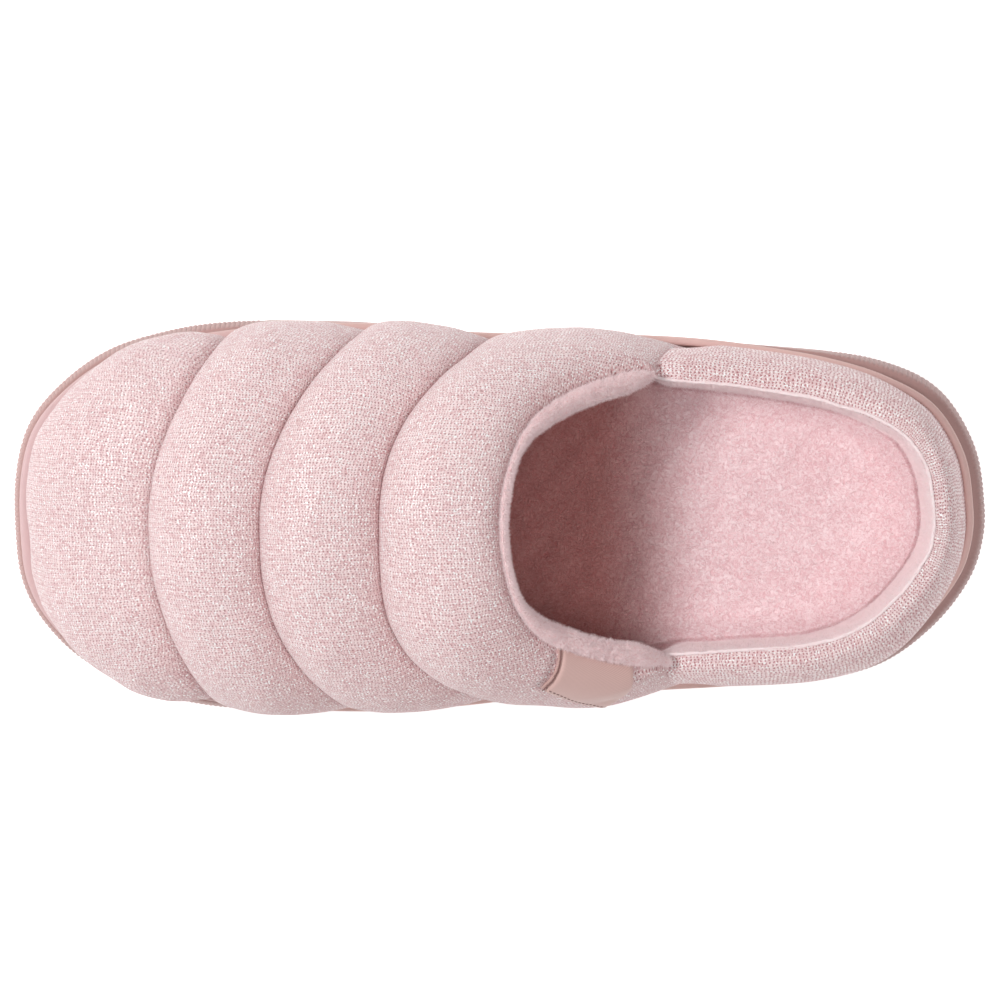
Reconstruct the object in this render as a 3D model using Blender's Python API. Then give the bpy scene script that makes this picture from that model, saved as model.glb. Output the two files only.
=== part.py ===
"""Left scuff slipper: moulded cup sole, plush insole, quilted puffer upper, padded heel collar,
plush collar lining, plush throat binding and a plain side tab.

Metres. +X points to the toe, +Y to the outer side of the foot, +Z up. The floor is at Z = 0 and the
origin lies on it under the middle of the shoe.
"""

import math

import bpy
import bmesh
import numpy as np

# Overall sizes of the shoe
SOLE_LENGTH = 0.2700
BALL_WIDTH = 0.1075
INSTEP_HEIGHT = 0.0785
HEEL_COLLAR_HEIGHT = 0.0500
SIDE_COLLAR_HEIGHT = 0.0470

# Moulded sole
HEEL_DECK_HEIGHT = 0.0200
HEEL_FLARE = 0.0046
TOE_FLARE = 0.0020
TOE_SPRING = 0.0070
HEEL_LIFT = 0.0015
ARCH_LIFT = 0.0020
LIP_HEIGHT = 0.0045
LIP_THICKNESS = 0.0026
LIP_ROUND = 0.0009
FOOT_BEVEL = 0.0012
STEP_DEPTH = 0.0006
STEP_HEIGHT = 0.0010
WALL_BAND_SHARE = 0.60
WALL_TOP_FLARE = 0.70
STEP_FLARE = 0.55
RIB_PITCH = 0.0014
RIB_DEPTH = 0.00045
TREAD_DEPTH = 0.0014
TREAD_WIDTH = 0.0032
TREAD_PITCH = 0.0100
TREAD_MARGIN = 0.0100

# Soft parts
SEAM_WALL = 0.0028
PUFF_OUT = 0.0078
PUFF_IN = 0.0016
BINDING_WIDTH = 0.0042
BINDING_MIDDLE_WIDTH = 0.0014
BINDING_HEIGHT = 0.0054
BINDING_SEAT = 0.0006
COLLAR_WALL = 0.0090
HEEL_LEAN = 0.0030
LINING_WALL = 0.0024
INSOLE_THICKNESS = 0.0085
INSOLE_ROUND = 0.0020
INSOLE_CORNER = 0.0006
INSOLE_TOE_INSET = 0.0088
TAB_THICKNESS = 0.0009
TAB_SEAT = 0.0009
JOINT_SLOPE = 0.42
JOINT_TOP_X = -0.0420
COLLAR_BLEND = 0.0300

# Clearance left between pieces that touch, and where the collar's slanted ends meet the upper
GAP = 0.0004
JOINT_GAP = 0.0006

# Outline of the sole's rim, seen from above and counterclockwise from the back of the heel.
# along: share of the rim's length from its middle; across: share of the ball width, outer side positive
SOLE_OUTLINE = [
    (-0.5000, -0.030),
    (-0.4905, -0.165),
    (-0.4590, -0.290),
    (-0.4080, -0.362),
    (-0.3400, -0.408),
    (-0.2350, -0.448),
    (-0.1500, -0.463),
    (-0.0550, -0.466),
    (0.0400, -0.473),
    (0.1330, -0.496),
    (0.2100, -0.499),
    (0.2840, -0.484),
    (0.3490, -0.456),
    (0.4060, -0.411),
    (0.4520, -0.332),
    (0.4860, -0.230),
    (0.5000, -0.099),
    (0.5000, 0.060),
    (0.4930, 0.173),
    (0.4720, 0.271),
    (0.4330, 0.366),
    (0.3760, 0.438),
    (0.3100, 0.482),
    (0.2270, 0.507),
    (0.1330, 0.507),
    (0.0400, 0.490),
    (-0.0550, 0.463),
    (-0.1500, 0.449),
    (-0.2450, 0.435),
    (-0.3330, 0.417),
    (-0.4010, 0.363),
    (-0.4510, 0.267),
    (-0.4850, 0.160),
    (-0.4985, 0.065),
]

# Height of the deck inside the sole's rim.
# along: share of the sole's length; height: share of the heel's deck
DECK_HEIGHTS = [
    (-0.50, 1.000),
    (-0.30, 0.950),
    (-0.10, 0.825),
    (0.10, 0.675),
    (0.28, 0.640),
    (0.42, 0.740),
    (0.50, 0.900),
]

# Crown line of the upper, without its puffs. along: share of the sole's length; height: share of the instep
CROWN_HEIGHTS = [
    (-0.22, 0.800),
    (-0.16, 0.865),
    (-0.08, 0.960),
    (0.00, 1.000),
    (0.125, 0.885),
    (0.245, 0.780),
    (0.36, 0.670),
    (0.44, 0.560),
    (0.50, 0.430),
]

# Lines across the upper, seen from above, each bowed towards the toe.
# centre, inner_end, outer_end: shares of the sole's length; inner_bow, outer_bow: powers of the curve
ACROSS_LINES = {
    "seam_1": (0.349, 0.275, 0.290, 2.0, 2.3),
    "seam_2": (0.236, 0.134, 0.148, 2.1, 2.8),
    "seam_3": (0.118, 0.010, 0.000, 2.4, 3.6),
    "throat": (0.002, -0.152, -0.160, 7.0, 8.0),
}

# Share of the throat's curve that is a plain arc before it turns into its arms, inner and outer side
THROAT_ARC = (0.37, 0.36)

# How late the puffs tuck in at the feather line, as powers: inner and outer side of each puff from the toe
EDGE_TUCKS = [(5.0, 4.0), (6.0, 4.0), (9.0, 3.6), (9.0, 6.5)]

# Places that the forms turn around, as shares of the sole's length
TOE_PIVOT = 0.215
HEEL_PIVOT = -0.300

# Where the sole leaves the floor, as shares of its length
SPRING_START = 0.26
ARCH_SPAN = (-0.22, -0.01)
HEEL_LIFT_START = -0.455

# Where the sole's flare and ribs start and end, as shares of its length
HEEL_FLARE_SPAN = (-0.46, -0.22)
TOE_FLARE_SPAN = (0.17, 0.33)
HEEL_RIB_SPAN = (-0.37, -0.29)
TOE_RIB_SPAN = (0.20, 0.28)
TREAD_ZONES = ((-0.44, -0.24), (0.02, 0.245))

# Where the heel collar's top edge falls and the insole widens, as shares of the sole's length
COLLAR_FALL_SPAN = (-0.47, -0.25)
HEEL_LEAN_SPAN = (-0.50, -0.30)
INSOLE_FRONT_SPAN = (-0.190, -0.075)

# Section of the heel collar. inset: share of its wall; height: share from the deck to its top edge
COLLAR_SECTION = [
    (0.000, 0.00),
    (0.000, 0.20),
    (-0.140, 0.36),
    (-0.163, 0.54),
    (-0.047, 0.74),
    (0.209, 0.91),
    (0.488, 0.995),
    (0.744, 0.985),
    (0.953, 0.90),
    (1.000, 0.78),
    (1.000, 0.40),
    (1.000, 0.00),
]

# Section of the collar's plush band, in the same shares of its own wall
LINING_SECTION = [
    (0.000, 0.00),
    (0.000, 0.76),
    (-0.055, 0.89),
    (-0.110, 0.955),
    (0.280, 0.985),
    (0.670, 0.955),
    (0.917, 0.87),
    (1.000, 0.72),
    (1.000, 0.00),
]

# How high on the heel collar its outside has taken on the whole lean, as a share of the collar's height
LEAN_HEIGHT = 0.45

# Where the binding widens towards the throat's arms, as shares of the way from the middle to the corners
BINDING_SPREAD = (0.45, 0.88)

# Corners of the side tab. along: share of the sole's length; across: share of the upper's columns
TAB_CORNERS = {
    "front_top": (-0.055, 0.745),
    "rear_top": (-0.128, 0.815),
    "front_bottom": (-0.036, 0.800),
    "rear_bottom": (-0.105, 0.905),
}
TAB_EDGE = 0.975

# Roundness of the upper's sections
SECTION_POWER = 2.3
SECTION_ROOT = 2.3
PUFF_LEAN = 0.86
PUFF_ROUND = 0.62
TOE_EASE = 0.14
TOE_EASE_END = 0.70

# Where the toe's front row of the upper starts and ends on the rim, as angles from straight ahead
FRONT_ROW_ANGLE = math.radians(52)

# Mesh counts
ROWS_PER_PUFF = (7, 6, 6, 7)
COLUMNS = 30
CORNER_COLUMN = 5
BINDING_END = 0.35
SIDE_STATIONS = 17
TOE_COLUMNS = 24
HEEL_COLUMNS = 20
ROW_CROWDING = 0.06
COLLAR_STATIONS = 34
BINDING_SIDES = 10
BINDING_TAPER = 0.60
TAB_STEPS = 7
UNDERSIDE_LOOPS = (0.45, 0.80)
DECK_LOOPS = (0.84, 0.50)
INSOLE_LOOP = 0.50

# Step across the upper's columns to find the direction of the throat's edge
EDGE_STEP_ACROSS = 0.01

# Edges sharper than this stay crisp
CRISP_ANGLE = math.radians(35)


def smooth(low, high, value):
    """0 below low, 1 above high, with soft ends."""
    share = np.clip((value - low) / (high - low), 0.0, 1.0)
    return share * share * (3.0 - 2.0 * share)


def rise(span, x):
    """0 behind a span of the shoe and 1 ahead of it. The span holds two shares of the sole's length."""
    return float(smooth(span[0] * SOLE_LENGTH, span[1] * SOLE_LENGTH, x))


def table_curve(rows, value):
    """A smooth curve through the two columns of a short table."""
    keys = [row[0] for row in rows]
    levels = [row[1] for row in rows]
    value = min(max(value, keys[0]), keys[-1])
    right = min(max(int(np.searchsorted(keys, value)), 1), len(keys) - 1)
    left = right - 1
    width = keys[right] - keys[left]
    share = (value - keys[left]) / width

    def slope(index):
        before, after = max(index - 1, 0), min(index + 1, len(keys) - 1)
        return (levels[after] - levels[before]) / (keys[after] - keys[before])

    start = (1 + 2 * share) * (1 - share) ** 2 * levels[left]
    start += share * (1 - share) ** 2 * width * slope(left)
    end = share**2 * (3 - 2 * share) * levels[right]
    end += share**2 * (share - 1) * width * slope(right)
    return start + end


class Outline:
    """A closed plan curve, counterclockwise, kept as a fine polyline with its outward normals."""

    def __init__(self, points):
        self.points = points
        ahead = np.roll(points, -1, axis=0) - np.roll(points, 1, axis=0)
        tangents = ahead / np.linalg.norm(ahead, axis=1)[:, None]
        self.normals = np.stack([tangents[:, 1], -tangents[:, 0]], axis=1)
        steps = np.linalg.norm(np.roll(points, -1, axis=0) - points, axis=1)
        self.travel = np.concatenate([[0.0], np.cumsum(steps)])
        self.length = self.travel[-1]
        toe = int(np.argmax(points[:, 0]))
        self.inner = points[: toe + 1]
        self.outer = points[toe:][::-1]

    def at(self, travel):
        """Point and outward normal at a distance along the curve."""
        travel = travel % self.length
        index = min(int(np.searchsorted(self.travel, travel, side="right")) - 1, len(self.points) - 1)
        after = (index + 1) % len(self.points)
        share = (travel - self.travel[index]) / (self.travel[index + 1] - self.travel[index])
        point = self.points[index] * (1 - share) + self.points[after] * share
        normal = self.normals[index] * (1 - share) + self.normals[after] * share
        return point, normal / np.linalg.norm(normal)

    def sides(self, x):
        """Across positions of the inner and outer edge at one place along the shoe."""
        x = min(max(x, self.points[:, 0].min() + 1e-6), self.points[:, 0].max() - 1e-6)
        low = np.interp(x, self.inner[:, 0], self.inner[:, 1])
        high = np.interp(x, self.outer[:, 0], self.outer[:, 1])
        return low, high

    def middle(self, x):
        low, high = self.sides(x)
        return (low + high) / 2

    def half_width(self, x):
        low, high = self.sides(x)
        return (high - low) / 2

    def reach(self, pivot, angle):
        """Distance from a pivot to the curve in one direction."""
        offsets = self.points - pivot
        angles = np.arctan2(offsets[:, 1], offsets[:, 0])
        order = np.argsort(angles)
        distances = np.hypot(offsets[:, 0], offsets[:, 1])[order]
        return np.interp(angle, angles[order], distances, period=2 * math.pi)

    def travel_of(self, point):
        """Distance along the curve of its nearest point."""
        nearest = int(np.argmin(np.hypot(*(self.points - point).T)))
        return self.travel[nearest]

    def inset(self, distance):
        return Outline(self.points - self.normals * distance)


def rim_outline(steps_per_row=24):
    """The sole's rim: a closed smooth curve through the outline table."""
    rim_length = SOLE_LENGTH - HEEL_FLARE - TOE_FLARE
    shift = (HEEL_FLARE - TOE_FLARE) / 2
    knots = np.array([(along * rim_length + shift, across * BALL_WIDTH) for along, across in SOLE_OUTLINE])
    points = []
    for index in range(len(knots)):
        a, b, c, d = (knots[(index + k) % len(knots)] for k in (-1, 0, 1, 2))
        for step in range(steps_per_row):
            t = step / steps_per_row
            cubic = 2 * b + (c - a) * t + (2 * a - 5 * b + 4 * c - d) * t**2 + (3 * b - a - 3 * c + d) * t**3
            points.append(cubic / 2)
    return Outline(np.array(points))


RIM = rim_outline()
FEATHER = RIM.inset(LIP_THICKNESS + GAP)
TOE_X = RIM.points[:, 0].max()
HEEL_X = RIM.points[:, 0].min()


def ground(x):
    """Underside of the sole: flat heel and forefoot, a shallow arch, toe spring and a rounded heel edge."""
    spring_start = SPRING_START * SOLE_LENGTH
    arch_back, arch_front = (share * SOLE_LENGTH for share in ARCH_SPAN)
    heel_start = HEEL_LIFT_START * SOLE_LENGTH
    height = 0.0
    if x > spring_start:
        height = TOE_SPRING * ((x - spring_start) / (TOE_X - spring_start)) ** 2
    elif arch_back < x < arch_front:
        height = ARCH_LIFT * math.sin(math.pi * (x - arch_back) / (arch_front - arch_back)) ** 2
    elif x < heel_start:
        height = HEEL_LIFT * ((heel_start - x) / (heel_start - HEEL_X)) ** 2
    return height


def deck(x):
    """Top of the sole inside its rim."""
    return HEEL_DECK_HEIGHT * table_curve(DECK_HEIGHTS, x / SOLE_LENGTH)


def lip_top(x):
    return deck(x) + LIP_HEIGHT


def flare(x):
    """How far the ribbed wall of the sole stands out past the rim."""
    heel = HEEL_FLARE * (1 - rise(HEEL_FLARE_SPAN, x))
    toe = TOE_FLARE * rise(TOE_FLARE_SPAN, x)
    return heel + toe


def stepped(x):
    """1 at the ribbed toe and heel, 0 along the smooth waist."""
    return 1 - rise(HEEL_RIB_SPAN, x) + rise(TOE_RIB_SPAN, x)


def mesh_object(name, vertices, faces, material):
    """A named object from vertices and faces, smooth over its soft edges."""
    mesh = bpy.data.meshes.new(name)
    mesh.from_pydata([tuple(map(float, vertex)) for vertex in vertices], [], faces)
    mesh.update()
    fixed = bmesh.new()
    fixed.from_mesh(mesh)
    bmesh.ops.recalc_face_normals(fixed, faces=fixed.faces)
    bmesh.ops.triangulate(fixed, faces=fixed.faces)
    fixed.to_mesh(mesh)
    fixed.free()
    mesh.shade_smooth()
    mesh.set_sharp_from_angle(angle=CRISP_ANGLE)
    mesh.materials.append(material)
    made = bpy.data.objects.new(name, mesh)
    bpy.context.scene.collection.objects.link(made)
    return made


def plain_material(name, color, roughness, metallic=0.0):
    material = bpy.data.materials.new(name)
    material.use_nodes = True
    shader = material.node_tree.nodes["Principled BSDF"]
    shader.inputs["Base Color"].default_value = (*color, 1.0)
    shader.inputs["Roughness"].default_value = roughness
    shader.inputs["Metallic"].default_value = metallic
    return material


def perimeter_columns():
    """Columns around the sole: plan point on the rim, the point of the spine behind it and its travel."""
    toe_pivot = TOE_PIVOT * SOLE_LENGTH
    heel_pivot = HEEL_PIVOT * SOLE_LENGTH
    stations = np.linspace(heel_pivot, toe_pivot, SIDE_STATIONS)
    columns = []
    for index, x in enumerate(stations):
        columns.append((np.array([x, RIM.sides(x)[0]]), index))
    front = np.array([toe_pivot, RIM.middle(toe_pivot)])
    for k in range(1, TOE_COLUMNS):
        angle = -math.pi / 2 + math.pi * k / TOE_COLUMNS
        point = front + RIM.reach(front, angle) * np.array([math.cos(angle), math.sin(angle)])
        columns.append((point, SIDE_STATIONS - 1))
    for index, x in reversed(list(enumerate(stations))):
        columns.append((np.array([x, RIM.sides(x)[1]]), index))
    back = np.array([heel_pivot, RIM.middle(heel_pivot)])
    for k in range(1, HEEL_COLUMNS):
        angle = math.pi / 2 + math.pi * k / HEEL_COLUMNS
        point = back + RIM.reach(back, angle) * np.array([math.cos(angle), math.sin(angle)])
        columns.append((point, 0))
    spine = [np.array([x, RIM.middle(x)]) for x in stations]
    travels = []
    for point, _ in columns:
        travel = RIM.travel_of(point)
        travels.append(travel if not travels or travel > travels[-1] else travel + RIM.length)
    return travels, [station for _, station in columns], spine


class Loops:
    """Vertices and faces of a body that is built up loop by loop."""

    def __init__(self):
        self.vertices = []
        self.faces = []

    def loop(self, points):
        first = len(self.vertices)
        self.vertices.extend(points)
        return list(range(first, first + len(points)))

    def bridge(self, low, high):
        """A band of quads between two closed loops of one count."""
        count = len(low)
        for k in range(count):
            after = (k + 1) % count
            self.faces.append((low[k], low[after], high[after], high[k]))

    def stitch(self, low, low_travel, high, high_travel):
        """A band of triangles between two closed loops of different counts."""
        a = b = 0
        while a < len(low) or b < len(high):
            next_a = low_travel[a + 1] if a + 1 < len(low) else RIM.length + low_travel[0]
            next_b = high_travel[b + 1] if b + 1 < len(high) else RIM.length + high_travel[0]
            here_a, here_b = low[a % len(low)], high[b % len(high)]
            if b >= len(high) or (a < len(low) and next_a <= next_b):
                self.faces.append((here_a, low[(a + 1) % len(low)], here_b))
                a += 1
            else:
                self.faces.append((here_a, high[(b + 1) % len(high)], here_b))
                b += 1

    def close_to_spine(self, loop, stations, spine_points):
        """Closes a loop down to the points of the spine behind it."""
        spine = self.loop(spine_points)
        for k in range(len(loop)):
            after = (k + 1) % len(loop)
            here, there = spine[stations[k]], spine[stations[after]]
            if here == there:
                self.faces.append((loop[k], loop[after], here))
            else:
                self.faces.append((loop[k], loop[after], there, here))


def rib_columns(coarse):
    """Travels of the fine loop: a peak and a valley for each rib at toe and heel, coarse columns between."""
    travels = []
    for index, start in enumerate(coarse):
        end = coarse[index + 1] if index + 1 < len(coarse) else RIM.length + coarse[0]
        travels.append((start, 0))
        middle, _ = RIM.at((start + end) / 2)
        if stepped(middle[0]) > 0.5:
            ribs = max(1, round((end - start) / RIB_PITCH))
            for half in range(1, 2 * ribs):
                travels.append((start + (end - start) * half / (2 * ribs), half % 2))
    return travels


def sole_loop(travels, outward, height):
    """A loop of the sole: outward and height are functions of the place along the shoe."""
    points = []
    for travel in travels:
        point, normal = RIM.at(travel)
        plan = point + normal * outward(point[0])
        points.append((plan[0], plan[1], height(point[0])))
    return points


def tread_cutters(material):
    """Bars that press the tread's cross grooves into the heel and forefoot."""
    cutters = []
    for back, front in TREAD_ZONES:
        start, end = back * SOLE_LENGTH, front * SOLE_LENGTH
        count = max(1, int((end - start) / TREAD_PITCH))
        first = (start + end - (count - 1) * TREAD_PITCH) / 2
        for index in range(count):
            x = first + index * TREAD_PITCH
            half = RIM.half_width(x) - TREAD_MARGIN - flare(x)
            bpy.ops.mesh.primitive_cube_add(size=1, location=(x, RIM.middle(x), 0))
            bar = bpy.context.object
            bar.name = f"tread_cutter_{len(cutters)}"
            bar.data.transform(
                ((TREAD_WIDTH, 0, 0, 0), (0, 2 * half, 0, 0), (0, 0, 2 * TREAD_DEPTH, 0), (0, 0, 0, 1))
            )
            bar.hide_render = True
            bar.display_type = "WIRE"
            cutters.append(bar)
    return cutters


def build_sole(material):
    """The cup sole, from the middle of its underside up its ribbed wall and over the lip to the deck."""
    travels, stations, spine = perimeter_columns()
    fine = rib_columns(travels)
    fine_travels = [travel for travel, _ in fine]
    body = Loops()

    def band_top(x):
        return ground(x) + WALL_BAND_SHARE * (lip_top(x) - ground(x))

    def scaled(share, height):
        points = []
        for travel, station in zip(travels, stations):
            rim, _ = RIM.at(travel)
            plan = spine[station] + share * (rim - spine[station])
            points.append((plan[0], plan[1], height(plan[0])))
        return points

    def ribbed(outward, height):
        points = []
        for travel, valley in fine:
            point, normal = RIM.at(travel)
            fade = min(max(4 * stepped(point[0]) - 2, 0.0), 1.0)
            plan = point + normal * (outward(point[0]) - valley * fade * RIB_DEPTH)
            points.append((plan[0], plan[1], height(point[0])))
        return points

    underside = [scaled(share, ground) for share in UNDERSIDE_LOOPS]
    inner = body.loop(underside[0])
    body.close_to_spine(inner, stations, [(p[0], p[1], ground(p[0])) for p in spine])
    under = body.loop(underside[1])
    body.bridge(inner, under)
    foot = body.loop(sole_loop(travels, lambda x: flare(x) - FOOT_BEVEL, ground))
    body.bridge(under, foot)
    wall_low = body.loop(ribbed(flare, lambda x: ground(x) + FOOT_BEVEL))
    body.stitch(foot, travels, wall_low, fine_travels)
    step_foot = ribbed(lambda x: WALL_TOP_FLARE * flare(x), lambda x: band_top(x) - STEP_HEIGHT / 2)
    wall_high = body.loop(step_foot)
    body.bridge(wall_low, wall_high)
    profile = [
        (lambda x: STEP_FLARE * flare(x) - STEP_DEPTH * stepped(x), band_top),
        (lambda x: -STEP_DEPTH * stepped(x), lambda x: band_top(x) + STEP_HEIGHT / 2),
        (lambda x: 0.0, lambda x: band_top(x) + STEP_HEIGHT),
        (lambda x: 0.0, lambda x: lip_top(x) - LIP_ROUND),
        (lambda x: -LIP_ROUND, lip_top),
        (lambda x: LIP_ROUND / 2 - LIP_THICKNESS, lip_top),
        (lambda x: -LIP_THICKNESS, deck),
    ]
    below, below_travels = wall_high, fine_travels
    for outward, height in profile:
        loop = body.loop(sole_loop(travels, outward, height))
        if below_travels is fine_travels:
            body.stitch(below, below_travels, loop, travels)
        else:
            body.bridge(below, loop)
        below, below_travels = loop, travels
    for share in DECK_LOOPS:
        loop = body.loop(scaled(share, deck))
        body.bridge(below, loop)
        below = loop
    body.close_to_spine(below, stations, [(p[0], p[1], deck(p[0])) for p in spine])
    sole = mesh_object("sole", body.vertices, body.faces, material)
    for cutter in tread_cutters(material):
        cut = sole.modifiers.new(cutter.name, "BOOLEAN")
        cut.operation = "DIFFERENCE"
        cut.object = cutter
    return sole


def dome_share(x, y):
    """0 on the crown line and 1 on the feather line, turning around the toe."""
    pivot_x = TOE_PIVOT * SOLE_LENGTH
    if x <= pivot_x:
        return abs(y - FEATHER.middle(x)) / FEATHER.half_width(x)
    pivot = np.array([pivot_x, FEATHER.middle(pivot_x)])
    offset = np.array([x, y]) - pivot
    return math.hypot(*offset) / FEATHER.reach(pivot, math.atan2(offset[1], offset[0]))


def base_height(x, y):
    """Height of the upper's base surface, the last without puffs."""
    share = min(dome_share(x, y), 1.0)
    foot = lip_top(x) + GAP
    crown = INSTEP_HEIGHT * table_curve(CROWN_HEIGHTS, x / SOLE_LENGTH)
    return foot + (crown - foot) * (1 - share**SECTION_POWER) ** (1 / SECTION_ROOT)


def across_x(name, eta):
    """Where a line across the upper lies along the shoe. eta runs from -1, inner side, to 1, outer side."""
    centre, inner_end, outer_end, inner_bow, outer_bow = ACROSS_LINES[name]
    end, bow = (inner_end, inner_bow) if eta < 0 else (outer_end, outer_bow)
    if name != "throat":
        return SOLE_LENGTH * (centre - (centre - end) * abs(eta) ** bow)
    corner = math.cos(math.pi * CORNER_COLUMN / COLUMNS)
    if abs(eta) <= corner:
        arc = THROAT_ARC[0] if eta < 0 else THROAT_ARC[1]
        reach = abs(eta) / corner
        return SOLE_LENGTH * (centre - (centre - end) * (arc * reach**2 + (1 - arc) * reach**bow))
    x = SOLE_LENGTH * end
    top = base_height(*plan_of(x, math.copysign(corner, eta)))
    return x - (top - base_height(*plan_of(x, eta))) * JOINT_SLOPE


def plan_of(x, eta):
    return np.array([x, FEATHER.middle(x) + eta * FEATHER.half_width(x)])


def base_point(u, v):
    """Base surface of the upper. u counts puffs from 0 at the toe's feather line to 4 at the throat, and
    v runs across from 0, inner side, to 1, outer side."""
    eta = -math.cos(math.pi * v)
    names = list(ACROSS_LINES)
    if u <= 1:
        pivot_x = TOE_PIVOT * SOLE_LENGTH
        pivot = np.array([pivot_x, FEATHER.middle(pivot_x)])
        seam = plan_of(across_x("seam_1", eta), eta) - pivot
        seam_angle = math.atan2(seam[1], seam[0])
        seam_share = min(math.hypot(*seam) / FEATHER.reach(pivot, seam_angle), 1.0)
        front_angle = FRONT_ROW_ANGLE * (2 * v - 1)
        angle = front_angle + (seam_angle - front_angle) * u
        share = math.cos(math.acos(seam_share) * u)
        reach = FEATHER.reach(pivot, angle) * share
        plan = pivot + reach * np.array([math.cos(angle), math.sin(angle)])
    else:
        before = min(int(u), len(names) - 1)
        share = u - before
        x = across_x(names[before - 1], eta) * (1 - share) + across_x(names[before], eta) * share
        plan = plan_of(x, eta)
    return np.array([plan[0], plan[1], base_height(plan[0], plan[1])])


def puff_share(u):
    """0 on a seam and 1 on the crown of a puff, which leans a little to the toe."""
    local = min(max(u - math.floor(u), 0.0), 1.0) if u < len(ACROSS_LINES) else 1.0
    leaned = local**PUFF_LEAN
    return (4 * leaned * (1 - leaned)) ** PUFF_ROUND


def surface_normal(u, v):
    """Outward normal of the base surface. On the feather line it lies flat."""
    step = 1e-3
    low_u, high_u = max(u - step, 0.0), min(u + step, float(len(ACROSS_LINES)))
    low_v, high_v = max(v - step, 0.0), min(v + step, 1.0)
    if u <= 0 or v <= 0 or v >= 1:
        point = base_point(u, v)
        _, normal = FEATHER.at(FEATHER.travel_of(point[:2]))
        return np.array([normal[0], normal[1], 0.0])
    along = base_point(high_u, v) - base_point(low_u, v)
    across = base_point(u, high_v) - base_point(u, low_v)
    normal = np.cross(across, along)
    normal /= np.linalg.norm(normal)
    return normal if normal[2] > -0.2 else -normal


def edge_share(u, v):
    """Puffs keep their height across the foot and tuck in at the feather line."""
    inner, outer = EDGE_TUCKS[min(int(u), len(EDGE_TUCKS) - 1)]
    return 1 - abs(2 * v - 1) ** (inner if v < 0.5 else outer)


def outer_point(u, v, extra=0.0):
    ease = TOE_EASE + (1 - TOE_EASE) * float(smooth(0.0, TOE_EASE_END, u))
    lift = PUFF_OUT * puff_share(u) * edge_share(u, v) * ease
    return base_point(u, v) + surface_normal(u, v) * (lift + extra)


def inner_point(u, v):
    sink = SEAM_WALL + PUFF_IN * puff_share(u) * edge_share(u, v)
    return base_point(u, v) - surface_normal(u, v) * sink


def puff_rows():
    """Values of u for the rows of the upper, closer together beside the seams."""
    rows = [0.0]
    for puff, count in enumerate(ROWS_PER_PUFF):
        for k in range(1, count + 1):
            share = k / count
            rows.append(puff + share - ROW_CROWDING * math.sin(2 * math.pi * share))
    return rows


def build_upper(material):
    """The quilted upper: puffed outside, smoother inside, open at the throat and underneath."""
    rows = puff_rows()
    columns = [k / COLUMNS for k in range(COLUMNS + 1)]
    outer = [[outer_point(u, v) for v in columns] for u in rows]
    inner = [[inner_point(u, v) for v in columns] for u in rows]
    body = Loops()
    outer_ids = [body.loop(points) for points in outer]
    inner_ids = [body.loop(points) for points in inner]
    for r in range(len(rows) - 1):
        for c in range(COLUMNS):
            a, b = outer_ids[r][c : c + 2]
            d, e = outer_ids[r + 1][c : c + 2]
            body.faces.append((a, b, e, d))
            a, b = inner_ids[r][c : c + 2]
            d, e = inner_ids[r + 1][c : c + 2]
            body.faces.append((d, e, b, a))
    last = len(rows) - 1
    border = [(r, 0) for r in range(last, 0, -1)] + [(0, c) for c in range(COLUMNS + 1)]
    border += [(r, COLUMNS) for r in range(1, last + 1)]
    profiles = []
    for r, c in border:
        high, low = outer[r][c], inner[r][c]
        floor = deck(high[0]) + GAP
        skirt = body.loop([(high[0], high[1], floor), (low[0], low[1], floor)])
        profiles.append((outer_ids[r][c], skirt[0], skirt[1], inner_ids[r][c]))
    for here, there in zip(profiles, profiles[1:]):
        for k in range(3):
            body.faces.append((here[k], there[k], there[k + 1], here[k + 1]))
    for end in (profiles[0], profiles[-1]):
        body.faces.append(end)
    for c in range(COLUMNS):
        outer_pair = (outer_ids[last][c], outer_ids[last][c + 1])
        body.faces.append((*outer_pair, inner_ids[last][c + 1], inner_ids[last][c]))
    return mesh_object("upper", body.vertices, body.faces, material)


def swept_body(name, sections, material):
    """A closed body through a row of closed sections, capped at both ends."""
    body = Loops()
    loops = [body.loop(section) for section in sections]
    for low, high in zip(loops, loops[1:]):
        body.bridge(low, high)
    body.faces.append(tuple(reversed(loops[0])))
    body.faces.append(tuple(loops[-1]))
    return mesh_object(name, body.vertices, body.faces, material)


def build_binding(material):
    """Plush roll seated on the throat's edge, a thin strip in the middle and wider along the arms."""
    throat = float(len(ACROSS_LINES))
    corner = CORNER_COLUMN / COLUMNS
    first = corner + BINDING_END / COLUMNS
    last = 1 - first
    between = [k / COLUMNS for k in range(CORNER_COLUMN + 1, COLUMNS - CORNER_COLUMN)]
    sections = []
    for v in (first, *between, last):
        outer, inner = outer_point(throat, v), inner_point(throat, v)
        along = base_point(throat, min(v + EDGE_STEP_ACROSS, last))
        along -= base_point(throat, max(v - EDGE_STEP_ACROSS, first))
        along /= np.linalg.norm(along)
        away = np.cross(outer - inner, along)
        away /= np.linalg.norm(away)
        up = np.cross(along, away)
        reach = abs(math.cos(math.pi * v)) / math.cos(math.pi * corner)
        size = BINDING_TAPER if v in (first, last) else 1.0
        widening = float(smooth(*BINDING_SPREAD, reach))
        width = BINDING_MIDDLE_WIDTH + (BINDING_WIDTH - BINDING_MIDDLE_WIDTH) * widening
        centre = (outer + inner) / 2 + away * (BINDING_SEAT + size * width / 2)
        ring = []
        for step in range(BINDING_SIDES):
            turn = 2 * math.pi * step / BINDING_SIDES
            outward = away * math.cos(turn) * width + up * math.sin(turn) * BINDING_HEIGHT
            ring.append(centre + outward * size / 2)
        sections.append(ring)
    return swept_body("throat_binding", sections, material)


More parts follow.
